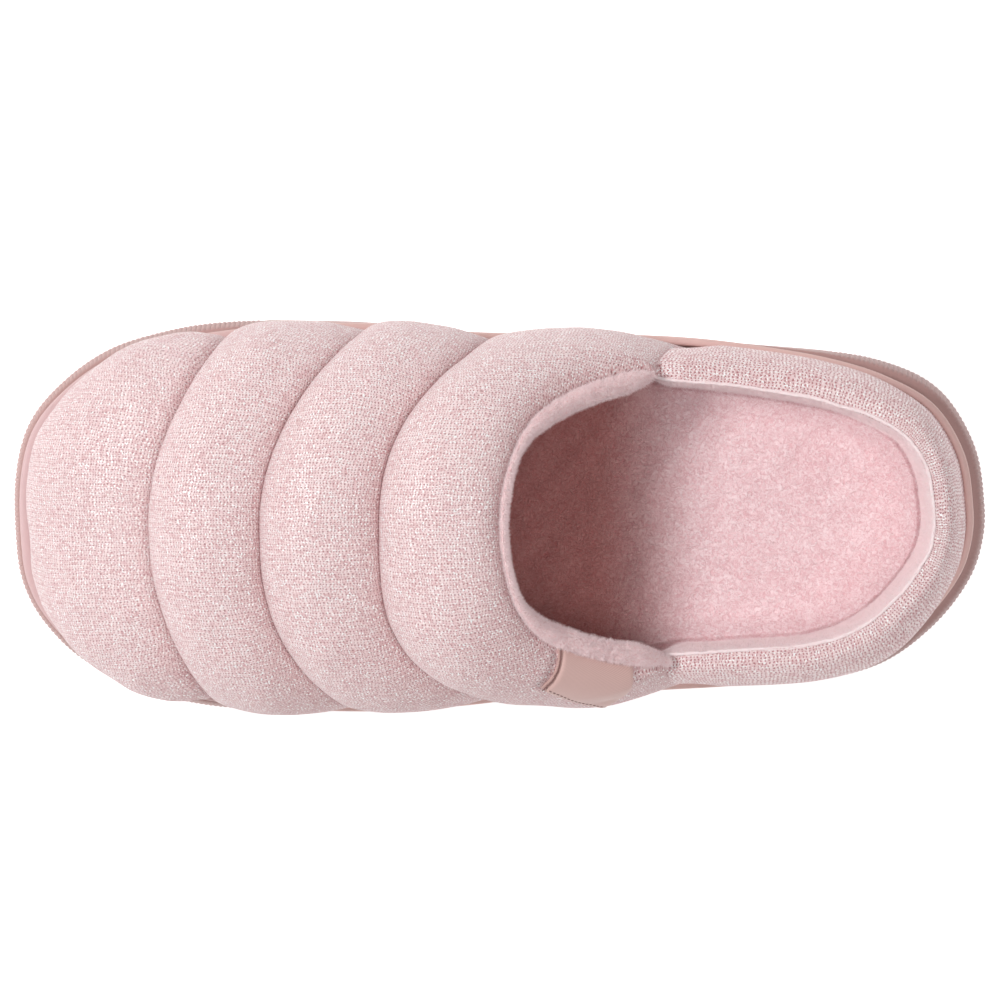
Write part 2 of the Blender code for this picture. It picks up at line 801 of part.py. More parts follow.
def collar_top(x):
    """Top edge of the heel collar, a little higher at the back."""
    return HEEL_COLLAR_HEIGHT + (SIDE_COLLAR_HEIGHT - HEEL_COLLAR_HEIGHT) * rise(COLLAR_FALL_SPAN, x)


def tail_edge(side):
    """Heights and places along the shoe of the upper's rear edge, on the inner (-1) or outer (1) side."""
    throat = float(len(ACROSS_LINES))
    edges = []
    for surface in (outer_point, inner_point):
        points = [surface(throat, (1 + side) / 2 - side * k / COLUMNS) for k in range(CORNER_COLUMN + 1)]
        edges.append(([point[2] for point in points], [point[0] for point in points]))
    return edges


def heel_lean(x):
    """How much further in the collar and its lining stand around the back of the heel."""
    return HEEL_LEAN * (1 - rise(HEEL_LEAN_SPAN, x))


def collar_ring(travel, rows, fade, tails):
    """One section of the collar. Rows hold inset from the rim, share of the height above the deck and share
    of the heel's lean; fade is positive near the outer end, negative near the inner end, and slants that end
    along the upper."""
    ring = []
    start, _ = RIM.at(travel)
    for inset, share, lean in rows:
        shift = 0.0
        if fade:
            low = deck(JOINT_TOP_X)
            z = low + share * (collar_top(start[0]) - low)
            side = 1 if fade > 0 else -1
            edge_x = min(float(np.interp(z, heights, places)) for heights, places in tails[side])
            shift = (JOINT_TOP_X - edge_x + JOINT_GAP) * fade
        point, normal = RIM.at(travel + shift)
        plan = point - normal * (inset + lean * heel_lean(point[0]))
        low = deck(plan[0]) + GAP
        ring.append((plan[0], plan[1], low + (collar_top(point[0]) - low) * share))
    return ring


def collar_travels():
    """Places of the collar's sections around the heel, from the outer joint to the inner one."""
    start_x = JOINT_TOP_X
    start = RIM.travel_of(np.array([start_x, RIM.sides(start_x)[1]]))
    end = RIM.travel_of(np.array([start_x, RIM.sides(start_x)[0]])) + RIM.length
    return [start + (end - start) * k / COLLAR_STATIONS for k in range(COLLAR_STATIONS + 1)]


def collar_fades(travels):
    """1 at the outer end of the collar, -1 at its inner end and 0 a little way in."""
    fades = []
    for travel in travels:
        outer_end = 1 - float(smooth(0.0, COLLAR_BLEND, travel - travels[0]))
        inner_end = 1 - float(smooth(0.0, COLLAR_BLEND, travels[-1] - travel))
        fades.append(outer_end - inner_end)
    return fades


def collar_body(name, section, face, wall, foot_lean, material):
    """A body swept around the heel from a section table, its outer face at one inset from the rim."""
    rows = []
    for inset, height in section:
        lean = max(foot_lean, inset, float(smooth(0.0, LEAN_HEIGHT, height)))
        rows.append((face + inset * wall, height, lean))
    travels = collar_travels()
    tails = {side: tail_edge(side) for side in (-1, 1)}
    sections = [collar_ring(t, rows, fade, tails) for t, fade in zip(travels, collar_fades(travels))]
    return swept_body(name, sections, material)


def build_collar(material):
    """Padded knit collar around the heel."""
    return collar_body("heel_collar", COLLAR_SECTION, LIP_THICKNESS + GAP, COLLAR_WALL, 0.0, material)


def build_lining(material):
    """Plush band inside the heel collar, rolled over its inner edge."""
    face = LIP_THICKNESS + COLLAR_WALL + 2 * GAP
    return collar_body("collar_lining", LINING_SECTION, face, LINING_WALL, 1.0, material)


def insole_inset(x):
    """The insole fills the upper in front and stands inside the collar's lining at the heel."""
    heel = LIP_THICKNESS + COLLAR_WALL + LINING_WALL + 3 * GAP
    return heel + heel_lean(x) + (INSOLE_TOE_INSET - heel) * rise(INSOLE_FRONT_SPAN, x)


def build_insole(material):
    """Soft footbed with a rounded top edge, lying on the deck."""
    travels, stations, spine = perimeter_columns()
    body = Loops()

    def ring(extra, rise):
        points = []
        for travel in travels:
            point, normal = RIM.at(travel)
            plan = point - normal * (insole_inset(point[0]) + extra)
            points.append((plan[0], plan[1], deck(plan[0]) + GAP + rise))
        return points

    def crown(share, rise):
        outer = ring(INSOLE_ROUND, rise)
        points = []
        for (x, y, _), station in zip(outer, stations):
            plan = spine[station] + share * (np.array([x, y]) - spine[station])
            points.append((plan[0], plan[1], deck(plan[0]) + GAP + rise))
        return points

    middle = body.loop(crown(INSOLE_LOOP, 0.0))
    body.close_to_spine(middle, stations, [(p[0], p[1], deck(p[0]) + GAP) for p in spine])
    low = body.loop(ring(0.0, 0.0))
    body.bridge(middle, low)
    for extra, rise in (
        (0.0, INSOLE_THICKNESS - INSOLE_ROUND),
        (INSOLE_CORNER, INSOLE_THICKNESS - INSOLE_CORNER),
        (INSOLE_ROUND, INSOLE_THICKNESS),
    ):
        high = body.loop(ring(extra, rise))
        body.bridge(low, high)
        low = high
    top = body.loop(crown(INSOLE_LOOP, INSOLE_THICKNESS))
    body.bridge(low, top)
    body.close_to_spine(top, stations, [(p[0], p[1], deck(p[0]) + GAP + INSOLE_THICKNESS) for p in spine])
    return mesh_object("insole", body.vertices, body.faces, material)


def tab_place(i, j):
    """Row and column on the upper of one point of the tab, i steps back and j steps down."""
    back, down = i / TAB_STEPS, j / TAB_STEPS
    front = [a + (b - a) * down for a, b in zip(TAB_CORNERS["front_top"], TAB_CORNERS["front_bottom"])]
    rear = [a + (b - a) * down for a, b in zip(TAB_CORNERS["rear_top"], TAB_CORNERS["rear_bottom"])]
    along, v = [a + (b - a) * back for a, b in zip(front, rear)]
    eta = -math.cos(math.pi * v)
    before, after = across_x("seam_3", eta), across_x("throat", eta)
    share = min(max((before - along * SOLE_LENGTH) / (before - after), 0.0), TAB_EDGE)
    return len(ACROSS_LINES) - 1 + share, v


def build_tab(material):
    """Folded ribbon tab on the outer side, laid over the last puff from the throat down."""
    steps = TAB_STEPS
    rows = [[tab_place(i, j) for j in range(steps + 1)] for i in range(steps + 1)]
    body = Loops()
    low = [body.loop([outer_point(u, v, TAB_SEAT) for u, v in line]) for line in rows]
    high = [body.loop([outer_point(u, v, TAB_SEAT + TAB_THICKNESS) for u, v in line]) for line in rows]
    for i in range(steps):
        for j in range(steps):
            body.faces.append((high[i][j], high[i + 1][j], high[i + 1][j + 1], high[i][j + 1]))
            body.faces.append((low[i][j], low[i][j + 1], low[i + 1][j + 1], low[i + 1][j]))
    border = [(0, j) for j in range(steps)] + [(i, steps) for i in range(steps)]
    border += [(steps, j) for j in range(steps, 0, -1)] + [(i, 0) for i in range(steps, 0, -1)]
    for (i, j), (k, m) in zip(border, border[1:] + border[:1]):
        body.faces.append((low[i][j], low[k][m], high[k][m], high[i][j]))
    return mesh_object("side_tab", body.vertices, body.faces, material)


def main():
    for existing in list(bpy.data.objects):
        bpy.data.objects.remove(existing)
    rubber = plain_material("moulded_rubber", (0.56, 0.36, 0.33), 0.55)
    knit = plain_material("glitter_knit", (0.80, 0.56, 0.55), 0.80)
    plush = plain_material("pink_plush", (0.86, 0.58, 0.58), 0.95)
    terry = plain_material("pink_terry", (0.85, 0.52, 0.54), 0.95)
    ribbon = plain_material("rose_ribbon", (0.60, 0.38, 0.34), 0.60)
    build_sole(rubber)
    build_insole(terry)
    build_upper(knit)
    build_collar(knit)
    build_lining(plush)
    build_binding(plush)
    build_tab(ribbon)


main()
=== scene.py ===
"""Looks of the left scuff slipper: puffed knit upper, plush binding and lining, terry footbed, rubber sole.

Metres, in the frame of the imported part: +X to the toe, +Y to the outer side, +Z up.
"""

import math

import bpy
import numpy as np
from mathutils import Matrix, Vector


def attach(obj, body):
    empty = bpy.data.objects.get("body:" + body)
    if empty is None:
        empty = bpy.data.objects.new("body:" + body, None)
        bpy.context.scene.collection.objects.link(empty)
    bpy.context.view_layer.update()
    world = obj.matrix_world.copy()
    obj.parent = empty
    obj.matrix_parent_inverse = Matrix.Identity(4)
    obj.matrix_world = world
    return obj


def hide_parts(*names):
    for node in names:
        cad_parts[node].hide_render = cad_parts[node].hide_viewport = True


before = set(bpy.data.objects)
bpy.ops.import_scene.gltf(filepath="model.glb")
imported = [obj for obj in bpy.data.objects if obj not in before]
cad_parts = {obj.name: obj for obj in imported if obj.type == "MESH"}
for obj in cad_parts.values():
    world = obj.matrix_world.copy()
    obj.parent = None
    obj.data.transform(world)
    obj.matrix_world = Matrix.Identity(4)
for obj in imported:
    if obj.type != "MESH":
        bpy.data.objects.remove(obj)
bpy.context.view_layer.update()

MM = 0.001

# Sizes shared with the solids
SOLE_LENGTH = 0.2700
BALL_WIDTH = 0.1075
INSTEP_HEIGHT = 0.0785
HEEL_COLLAR_HEIGHT = 0.0500
SIDE_COLLAR_HEIGHT = 0.0470
HEEL_DECK_HEIGHT = 0.0200
HEEL_FLARE = 0.0046
TOE_FLARE = 0.0020
TOE_SPRING = 0.0070
HEEL_LIFT = 0.0015
ARCH_LIFT = 0.0020
LIP_HEIGHT = 0.0045
LIP_THICKNESS = 0.0026
WALL_BAND_SHARE = 0.60
RIB_PITCH = 0.00135
RIB_DEPTH = 0.00030
SEAM_WALL = 0.0028
PUFF_OUT = 0.0078
PUFF_IN = 0.0016
COLLAR_WALL = 0.0090
HEEL_LEAN = 0.0030
LINING_WALL = 0.0024
INSOLE_THICKNESS = 0.0085
INSOLE_TOE_INSET = 0.0088
JOINT_SLOPE = 0.42
JOINT_TOP_X = -0.0420
GAP = 0.0004
JOINT_GAP = 0.0006
BINDING_WIDTH = 0.0042
BINDING_MIDDLE_WIDTH = 0.0014
BINDING_HEIGHT = 0.0054
BINDING_SEAT = 0.0006
BINDING_START = 0.05 / 30
BINDING_END = 0.25 / 30

# Small departures of the cloth and the rim from the solids
LEAN_SPAN = (0.12, 0.46)  # shares of its height between which the collar comes to lean
HEEL_SLIM = 0.0012  # off the collar's outside at the heel
END_SLIM = {-1: 0.0021, 1: 0.0012}  # off the collar's outside at its inner and its outer end
END_SLIM_RUN = 0.020
JOINT_RUN = 0.030  # how far the collar's slanted ends reach back
TUCK_RUN = 0.009  # how far its ends dip under the upper's tails
TUCK_DROP = 0.0013
TUCK_IN = 0.0005
COLLAR_RISE = 0.029
FULL_CORNER = (-0.1136, 0.0326)  # where the collar bulges over the rim
FULL_SPREAD = 0.024
FULLNESS = 0.0026
FOOTBED_TUCK = 0.0031  # how far the footbed runs on under the lining
LINING_TUCK = 0.0013  # how far the lining runs on into the collar
LINING_SLIM = 0.0014
LINING_END_RUN = 11.0  # millimetres
LINING_END_OUT = 0.0036
LINING_END_DROP = 0.0025
LIP_SHOW = 0.0014  # how far the upper's foot turns in at the toe
RIM_SHIFT = 0.0010  # how far the rim sits further in at toe and heel
SEAM_FADE = 0.55  # how far the seams rise again beside the sole's rim, as a share of a puff
SEAM_GROOVE = 1.2  # millimetres that the first seam lies deeper than in the solid
ROLL_STRETCH = 0.60  # share of the collar's height in its cloth coordinates: its knit is stretched
PAINTED_THROAT_SHADE = (-56.0, -24.0)  # millimetres along the shoe over which painted shade comes in on the pile and its fibres, full towards the toe, under the vamp
LIP_ROWS = (17.0, 19.0)  # loops of the sole where the lip's painted lighter colour begins

SOLE_OUTLINE = [
    (-0.5, -0.03), (-0.4905, -0.165), (-0.459, -0.29), (-0.408, -0.362), (-0.34, -0.408),
    (-0.235, -0.448), (-0.15, -0.463), (-0.055, -0.466), (0.04, -0.473), (0.133, -0.496),
    (0.21, -0.499), (0.284, -0.484), (0.349, -0.456), (0.406, -0.411), (0.452, -0.332),
    (0.486, -0.23), (0.5, -0.099), (0.5, 0.06), (0.493, 0.173), (0.472, 0.271),
    (0.433, 0.366), (0.376, 0.438), (0.31, 0.482), (0.227, 0.507), (0.133, 0.507),
    (0.04, 0.49), (-0.055, 0.463), (-0.15, 0.449), (-0.245, 0.435), (-0.333, 0.417),
    (-0.401, 0.363), (-0.451, 0.267), (-0.485, 0.16), (-0.4985, 0.065),
]
DECK_HEIGHTS = [
    (-0.5, 1.0), (-0.3, 0.95), (-0.1, 0.825), (0.1, 0.675),
    (0.28, 0.64), (0.42, 0.74), (0.5, 0.9),
]
CROWN_HEIGHTS = [
    (-0.22, 0.8), (-0.16, 0.865), (-0.08, 0.96), (0.0, 1.0), (0.125, 0.885),
    (0.245, 0.78), (0.36, 0.67), (0.44, 0.56), (0.5, 0.43),
]
# The seams and the throat across the upper: centre, inner end, outer end, inner bow, outer bow
ACROSS_LINES = [
    (0.349, 0.275, 0.29, 2.0, 2.3),
    (0.236, 0.134, 0.148, 2.1, 2.8),
    (0.118, 0.01, 0.0, 2.4, 3.6),
    (0.002, -0.152, -0.16, 7.0, 8.0),
]
THROAT_ARC = (0.37, 0.36)
CORNER_SHARE = 5 / 30
THROAT_CORNER = math.cos(math.pi * CORNER_SHARE)
EDGE_TUCKS = [(5.0, 4.0), (6.0, 4.0), (9.0, 3.6), (9.0, 6.5)]
TOE_PIVOT = 0.215
HEEL_PIVOT = -0.300
SECTION_POWER = 2.3
PUFF_LEAN = 0.86
PUFF_ROUND = 0.62
TOE_EASE = 0.14
FRONT_ROW_ANGLE = math.radians(52)
COLLAR_SECTION = [
    (0.0, 0.0), (0.0, 0.2), (-0.14, 0.36), (-0.163, 0.54), (-0.047, 0.74), (0.209, 0.91),
    (0.488, 0.995), (0.78, 0.998), (0.93, 0.985), (1.0, 0.94), (1.0, 0.4), (1.0, 0.0),
]
LINING_SECTION = [
    (0.0, 0.0), (0.0, 0.86), (0.03, 0.965), (0.13, 0.998), (0.3, 1.008), (0.48, 0.99),
    (0.66, 0.935), (0.81, 0.84), (0.93, 0.7), (1.0, 0.52), (1.0, 0.0),
]
# Creases: row, column, length along, width across, depth in millimetres
CREASES = [
    (3.62, 0.15, 0.1, 0.012, 0.55), (3.5, 0.182, 0.16, 0.01, 0.4), (3.7, 0.86, 0.08, 0.011, 0.5),
    (2.55, 0.095, 0.14, 0.01, 0.45), (2.45, 0.9, 0.12, 0.012, 0.45), (1.5, 0.085, 0.16, 0.01, 0.45),
    (0.8, 0.06, 0.1, 0.016, 0.6), (0.84, 0.93, 0.08, 0.014, 0.55), (3.2, 0.34, 0.05, 0.03, 0.35),
    (2.18, 0.62, 0.05, 0.034, 0.3), (1.16, 0.4, 0.05, 0.03, 0.3), (3.58, 0.93, 0.26, 0.055, -2.0),
]

# Unevenness of the cloth: height in millimetres, seed, size in metres
UPPER_LUMPS = [(0.45, 3, 0.034), (0.20, 4, 0.012)]
PUCKERS = [(0.32, 5, 0.007)]
COLLAR_LUMPS = [(0.30, 11, 0.030)]
LINING_LUMPS = [(0.16, 12, 0.011), (0.09, 13, 0.0022)]
BINDING_LUMPS = [(0.16, 21, 0.0045), (0.16, 22, 0.016), (0.13, 23, 0.0016), (0.11, 24, 0.0011)]
FOOTBED_LUMPS = [(0.18, 31, 0.009), (0.25, 32, 0.030)]


def smooth(low, high, value):
    """A soft step from 0 to 1 between low and high."""
    share = np.clip((np.asarray(value, float) - low) / (high - low), 0.0, 1.0)
    return share * share * (3.0 - 2.0 * share)


def rise(low, high, x):
    """The same between two shares of the sole's length."""
    return smooth(low * SOLE_LENGTH, high * SOLE_LENGTH, x)


def unit(vectors):
    return vectors / np.maximum(np.linalg.norm(vectors, axis=-1, keepdims=True), 1e-12)


def raised(plan, z):
    """Points in plan, with heights."""
    return np.concatenate([plan, z[..., None]], axis=-1)


def paired(first, second):
    return np.stack(np.broadcast_arrays(first, second), axis=-1)


def run_of(steps):
    """Distance travelled at each point of a line, from the steps between them."""
    return np.concatenate([[0.0], np.cumsum(steps)])


def on_line(line, places, wanted):
    return np.stack([np.interp(wanted, places, line[:, axis]) for axis in range(3)], axis=-1)


def strip(a, b):
    """Quads between two lines of vertices."""
    return np.stack([a[:-1], a[1:], b[1:], b[:-1]], axis=-1)


def between(grid, row, column, down, right):
    """Values of a grid at shares down and right of a cell."""
    return (
        grid[row, column] * (1 - down) * (1 - right) + grid[row + 1, column] * down * (1 - right)
        + grid[row, column + 1] * (1 - down) * right + grid[row + 1, column + 1] * down * right
    )


def table_curve(rows, value):
    """A smooth curve through a two-column table, for arrays."""
    keys = np.array([row[0] for row in rows])
    levels = np.array([row[1] for row in rows])
    after = np.minimum(np.arange(len(keys)) + 1, len(keys) - 1)
    before = np.maximum(np.arange(len(keys)) - 1, 0)
    slopes = (levels[after] - levels[before]) / (keys[after] - keys[before])
    value = np.clip(value, keys[0], keys[-1])
    right = np.clip(np.searchsorted(keys, value), 1, len(keys) - 1)
    left = right - 1
    width = keys[right] - keys[left]
    t = (value - keys[left]) / width
    start = (1 + 2 * t) * (1 - t) ** 2 * levels[left] + t * (1 - t) ** 2 * width * slopes[left]
    return start + t**2 * (3 - 2 * t) * levels[right] + t**2 * (t - 1) * width * slopes[right]


def spline(knots, per_knot):
    """Points of a smooth closed curve through knots."""
    knots = np.asarray(knots, float)
    t = (np.arange(per_knot) / per_knot)[:, None]
    points = []
    for i in range(len(knots)):
        a, b, c, d = (knots[k % len(knots)] for k in range(i - 1, i + 3))
        doubled = 2 * b + (c - a) * t + (2 * a - 5 * b + 4 * c - d) * t**2 + (3 * b - a - 3 * c + d) * t**3
        points.append(doubled / 2)
    return np.concatenate(points)


class Outline:
    """A closed outline in plan, and places on it by travel, side or angle."""

    def __init__(self, points):
        self.points = points
        tangents = unit(np.roll(points, -1, axis=0) - np.roll(points, 1, axis=0))
        self.normals = np.stack([tangents[:, 1], -tangents[:, 0]], axis=1)
        self.travel = run_of(np.linalg.norm(np.roll(points, -1, axis=0) - points, axis=1))
        self.length = self.travel[-1]
        toe = int(np.argmax(points[:, 0]))
        self.inner, self.outer = points[: toe + 1], points[toe:][::-1]
        self.front, self.back = points[:, 0].max() - 1e-6, points[:, 0].min() + 1e-6

    def at(self, travel):
        travel = np.asarray(travel) % self.length
        index = np.clip(np.searchsorted(self.travel, travel, side="right") - 1, 0, len(self.points) - 1)
        after = (index + 1) % len(self.points)
        t = ((travel - self.travel[index]) / (self.travel[index + 1] - self.travel[index]))[..., None]
        point = self.points[index] * (1 - t) + self.points[after] * t
        normal = self.normals[index] * (1 - t) + self.normals[after] * t
        return point, unit(normal)

    def sides(self, x):
        x = np.clip(x, self.back, self.front)
        return np.interp(x, *self.inner.T), np.interp(x, *self.outer.T)

    def middle(self, x):
        low, high = self.sides(x)
        return (low + high) / 2

    def half_width(self, x):
        low, high = self.sides(x)
        return (high - low) / 2

    def across(self, x, eta):
        """y at a share of the half width: -1 on the inner side, 1 on the outer."""
        return self.middle(x) + eta * self.half_width(x)

    def reach(self, pivot, angle):
        offsets = self.points - pivot
        angles = np.arctan2(offsets[:, 1], offsets[:, 0])
        order = np.argsort(angles)
        return np.interp(angle, angles[order], np.hypot(*offsets.T)[order], period=2 * math.pi)

    def travel_of(self, point):
        return self.travel[int(np.argmin(np.hypot(*(self.points - point).T)))]


rim_knots = np.array(SOLE_OUTLINE) * [SOLE_LENGTH - HEEL_FLARE - TOE_FLARE, BALL_WIDTH]
RIM = Outline(spline(rim_knots + [(HEEL_FLARE - TOE_FLARE) / 2, 0], 24))
FEATHER = Outline(RIM.points - RIM.normals * (LIP_THICKNESS + GAP))
TOE_X, HEEL_X = RIM.points[:, 0].max(), RIM.points[:, 0].min()
TOE_CENTRE = np.array([TOE_PIVOT * SOLE_LENGTH, FEATHER.middle(TOE_PIVOT * SOLE_LENGTH)])


def spine(x):
    """Points on the shoe's middle line, no further out than its two pivots."""
    x = np.clip(x, HEEL_PIVOT * SOLE_LENGTH, TOE_PIVOT * SOLE_LENGTH)
    return np.stack([x, RIM.middle(x)], axis=1)


def ground(x):
    """Height of the sole's underside."""
    spring, heel = 0.26 * SOLE_LENGTH, -0.455 * SOLE_LENGTH
    back, front = -0.22 * SOLE_LENGTH, -0.01 * SOLE_LENGTH
    toe = TOE_SPRING * (np.clip(x - spring, 0, None) / (TOE_X - spring)) ** 2
    arch = ARCH_LIFT * np.sin(math.pi * np.clip((x - back) / (front - back), 0, 1)) ** 2
    return toe + arch + HEEL_LIFT * (np.clip(heel - x, 0, None) / (heel - HEEL_X)) ** 2


def deck(x):
    return HEEL_DECK_HEIGHT * table_curve(DECK_HEIGHTS, np.asarray(x) / SOLE_LENGTH)


def lip_top(x):
    return deck(x) + LIP_HEIGHT


def flare(x):
    return HEEL_FLARE * (1 - rise(-0.46, -0.22, x)) + TOE_FLARE * rise(0.17, 0.33, x)


def stepped(x):
    """1 where the sole's wall is ribbed and stepped, at toe and heel, 0 at the waist."""
    return 1 - rise(-0.37, -0.29, x) + rise(0.20, 0.28, x)


def lumps(seed, size, *coordinates):
    """Soft unevenness between about -1 and 1, from a few crossed waves of one size."""
    rng = np.random.default_rng(seed)
    total = 0.0
    for _ in range(7):
        direction = rng.normal(size=len(coordinates))
        direction *= 2 * math.pi / (np.linalg.norm(direction) * size * rng.uniform(0.7, 1.5))
        total = total + np.sin(sum(d * c for d, c in zip(direction, coordinates)) + rng.uniform(0, 6.28))
    return total / 3.2


def uneven(rows, *coordinates):
    return sum(height * MM * lumps(seed, size, *coordinates) for height, seed, size in rows)


def link_object(name, data):
    made = bpy.data.objects.new(name, data)
    bpy.context.scene.collection.objects.link(made)
    return made


def make(
    name, vertices, faces, material, uv=None, replaces=(), sharp=None, inside=None, inside_faces=None
):
    """A shown piece that rides on the shoe.

    vertices: n x 3, faces: blocks of n x 4 or n x 3, uv: millimetres, one pair for each vertex.
    inside: a second material, for the faces that inside_faces marks with 1.
    """
    vertices = np.asarray(vertices, np.float32).reshape(-1, 3)
    mesh = bpy.data.meshes.new(name)
    sizes = [len(block[0]) for block in faces for _ in range(len(block))]
    loops = np.concatenate([np.asarray(block, np.int32).ravel() for block in faces])
    mesh.vertices.add(len(vertices))
    mesh.vertices.foreach_set("co", vertices.ravel())
    mesh.loops.add(len(loops))
    mesh.loops.foreach_set("vertex_index", loops)
    mesh.polygons.add(len(sizes))
    mesh.polygons.foreach_set("loop_start", np.concatenate([[0], np.cumsum(sizes)[:-1]]).astype(np.int32))
    if uv is not None:
        layer = mesh.uv_layers.new(name="cloth")
        layer.data.foreach_set("uv", np.asarray(uv, np.float32).reshape(-1, 2)[loops].ravel())
    mesh.update(calc_edges=True)
    mesh.validate()
    mesh.shade_smooth()
    if sharp:
        mesh.set_sharp_from_angle(angle=math.radians(sharp))
    mesh.materials.append(material)
    if inside is not None:
        mesh.materials.append(inside)
        mesh.polygons.foreach_set("material_index", np.asarray(inside_faces, np.int32))
    piece = link_object(name, mesh)
    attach(piece, "root")
    if replaces:
        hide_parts(*replaces)
    return piece


def grid_faces(rows, columns, wrap=False, offset=0, flip=False):
    """Quads of a grid of vertices. wrap: the last column joins the first."""
    ids = offset + np.arange(rows * columns).reshape(rows, columns)
    right = np.roll(ids, -1, axis=1) if wrap else ids[:, 1:]
    left = ids if wrap else ids[:, :-1]
    quads = np.stack([left[:-1], right[:-1], right[1:], left[1:]], axis=-1).reshape(-1, 4)
    return quads[:, ::-1] if flip else quads


# Upper


def dome_share(x, y):
    """How far out a place lies under the dome: 0 on its middle line, 1 at its foot."""
    behind = np.abs(y - FEATHER.middle(x)) / FEATHER.half_width(x)
    offset_x, offset_y = x - TOE_CENTRE[0], y - TOE_CENTRE[1]
    ahead = np.hypot(offset_x, offset_y) / FEATHER.reach(TOE_CENTRE, np.arctan2(offset_y, offset_x))
    return np.where(x <= TOE_CENTRE[0], behind, ahead)


def base_height(x, y):
    share = np.minimum(dome_share(x, y), 1.0)
    foot = lip_top(x) + GAP
    crown = INSTEP_HEIGHT * table_curve(CROWN_HEIGHTS, np.asarray(x) / SOLE_LENGTH)
    return foot + (crown - foot) * (1 - share**SECTION_POWER) ** (1 / SECTION_POWER)


def across_x(line, eta):
    """Where a line across the upper lies along the shoe, for eta from -1, inner side, to 1, outer side."""
    centre, inner_end, outer_end, inner_bow, outer_bow = ACROSS_LINES[line]
    end = np.where(eta < 0, inner_end, outer_end)
    bow = np.where(eta < 0, inner_bow, outer_bow)
    size = np.abs(eta)
    if line < 3:
        return SOLE_LENGTH * (centre - (centre - end) * size**bow)
    arc = np.where(eta < 0, *THROAT_ARC)
    near = np.minimum(size / THROAT_CORNER, 1.0)
    x = SOLE_LENGTH * (centre - (centre - end) * (arc * near**2 + (1 - arc) * near**bow))
    end_x = SOLE_LENGTH * end
    corner_y = FEATHER.across(end_x, np.copysign(THROAT_CORNER, eta))
    drop = base_height(end_x, corner_y) - base_height(end_x, FEATHER.across(end_x, eta))
    tail = end_x - drop * JOINT_SLOPE
    return np.where(size <= THROAT_CORNER, x, tail)


def base_surface(u, v):
    """Points of the upper without puffs. u: 0, the toe's edge, to 4, the throat, v: 0, inner side, to 1."""
    eta = -np.cos(math.pi * v)
    first_x = across_x(0, eta)
    off_x, off_y = first_x - TOE_CENTRE[0], FEATHER.across(first_x, eta) - TOE_CENTRE[1]
    seam_angle = np.arctan2(off_y, off_x)
    seam_share = np.minimum(np.hypot(off_x, off_y) / FEATHER.reach(TOE_CENTRE, seam_angle), 1.0)
    front_angle = FRONT_ROW_ANGLE * (2 * v - 1)
    low = np.clip(u, 0, 1)
    angle = front_angle + (seam_angle - front_angle) * low
    reach = FEATHER.reach(TOE_CENTRE, angle) * np.cos(np.arccos(seam_share) * low)
    lines = [across_x(k, eta) for k in range(4)]
    before = np.clip(u.astype(int), 1, 3)
    share = u - before
    row_x = np.choose(before - 1, lines[:3]) * (1 - share) + np.choose(before - 1, lines[1:]) * share
    x = np.where(u <= 1, TOE_CENTRE[0] + reach * np.cos(angle), row_x)
    y = np.where(u <= 1, TOE_CENTRE[1] + reach * np.sin(angle), FEATHER.across(row_x, eta))
    return np.stack([x, y, base_height(x, y)], axis=-1)


def puff_share(u):
    """0 at the seams, 1 at the crest of a puff."""
    local = np.where(u < 4, u - np.floor(u), 1.0)
    leaned = local**PUFF_LEAN
    return np.maximum(4 * leaned * (1 - leaned), 0) ** PUFF_ROUND


def edge_share(u, v):
    """0 at the upper's foot, 1 over the rest of it."""
    puff = np.clip(u.astype(int), 0, 3)
    inner_power, outer_power = (np.choose(puff, powers) for powers in zip(*EDGE_TUCKS))
    return 1 - np.abs(2 * v - 1) ** np.where(v < 0.5, inner_power, outer_power)


def surface_normals(points):
    return unit(np.cross(np.gradient(points, axis=1), np.gradient(points, axis=0)))


def knit_coordinates(outer, x, y):
    """Cloth coordinates in millimetres: wales run along the shoe, rows of stitches across it."""
    facing = surface_normals(outer)
    slope = np.abs(facing[..., 0]) / np.maximum(np.abs(facing[..., 2]), 0.35)
    run, fall = np.diff(outer[..., 0], axis=0), np.diff(outer[..., 2], axis=0)
    step = np.abs(run) * np.sqrt(1 + (slope[1:] ** 2 + slope[:-1] ** 2) / 2)
    ahead = np.maximum(facing[..., 0], 0) / np.maximum(np.hypot(facing[..., 0], facing[..., 1]), 1e-6)
    steep = (smooth(0.45, 0.85, ahead) * (1 - smooth(0.35, 0.65, np.abs(facing[..., 2]))))[1:]
    step = step * (1 - steep) + np.hypot(run, fall) * steep
    along = np.concatenate([-x[:1], -x[:1] + np.cumsum(step, axis=0)], axis=0)
    return np.stack([arc_across(x, y), along], axis=-1) / MM


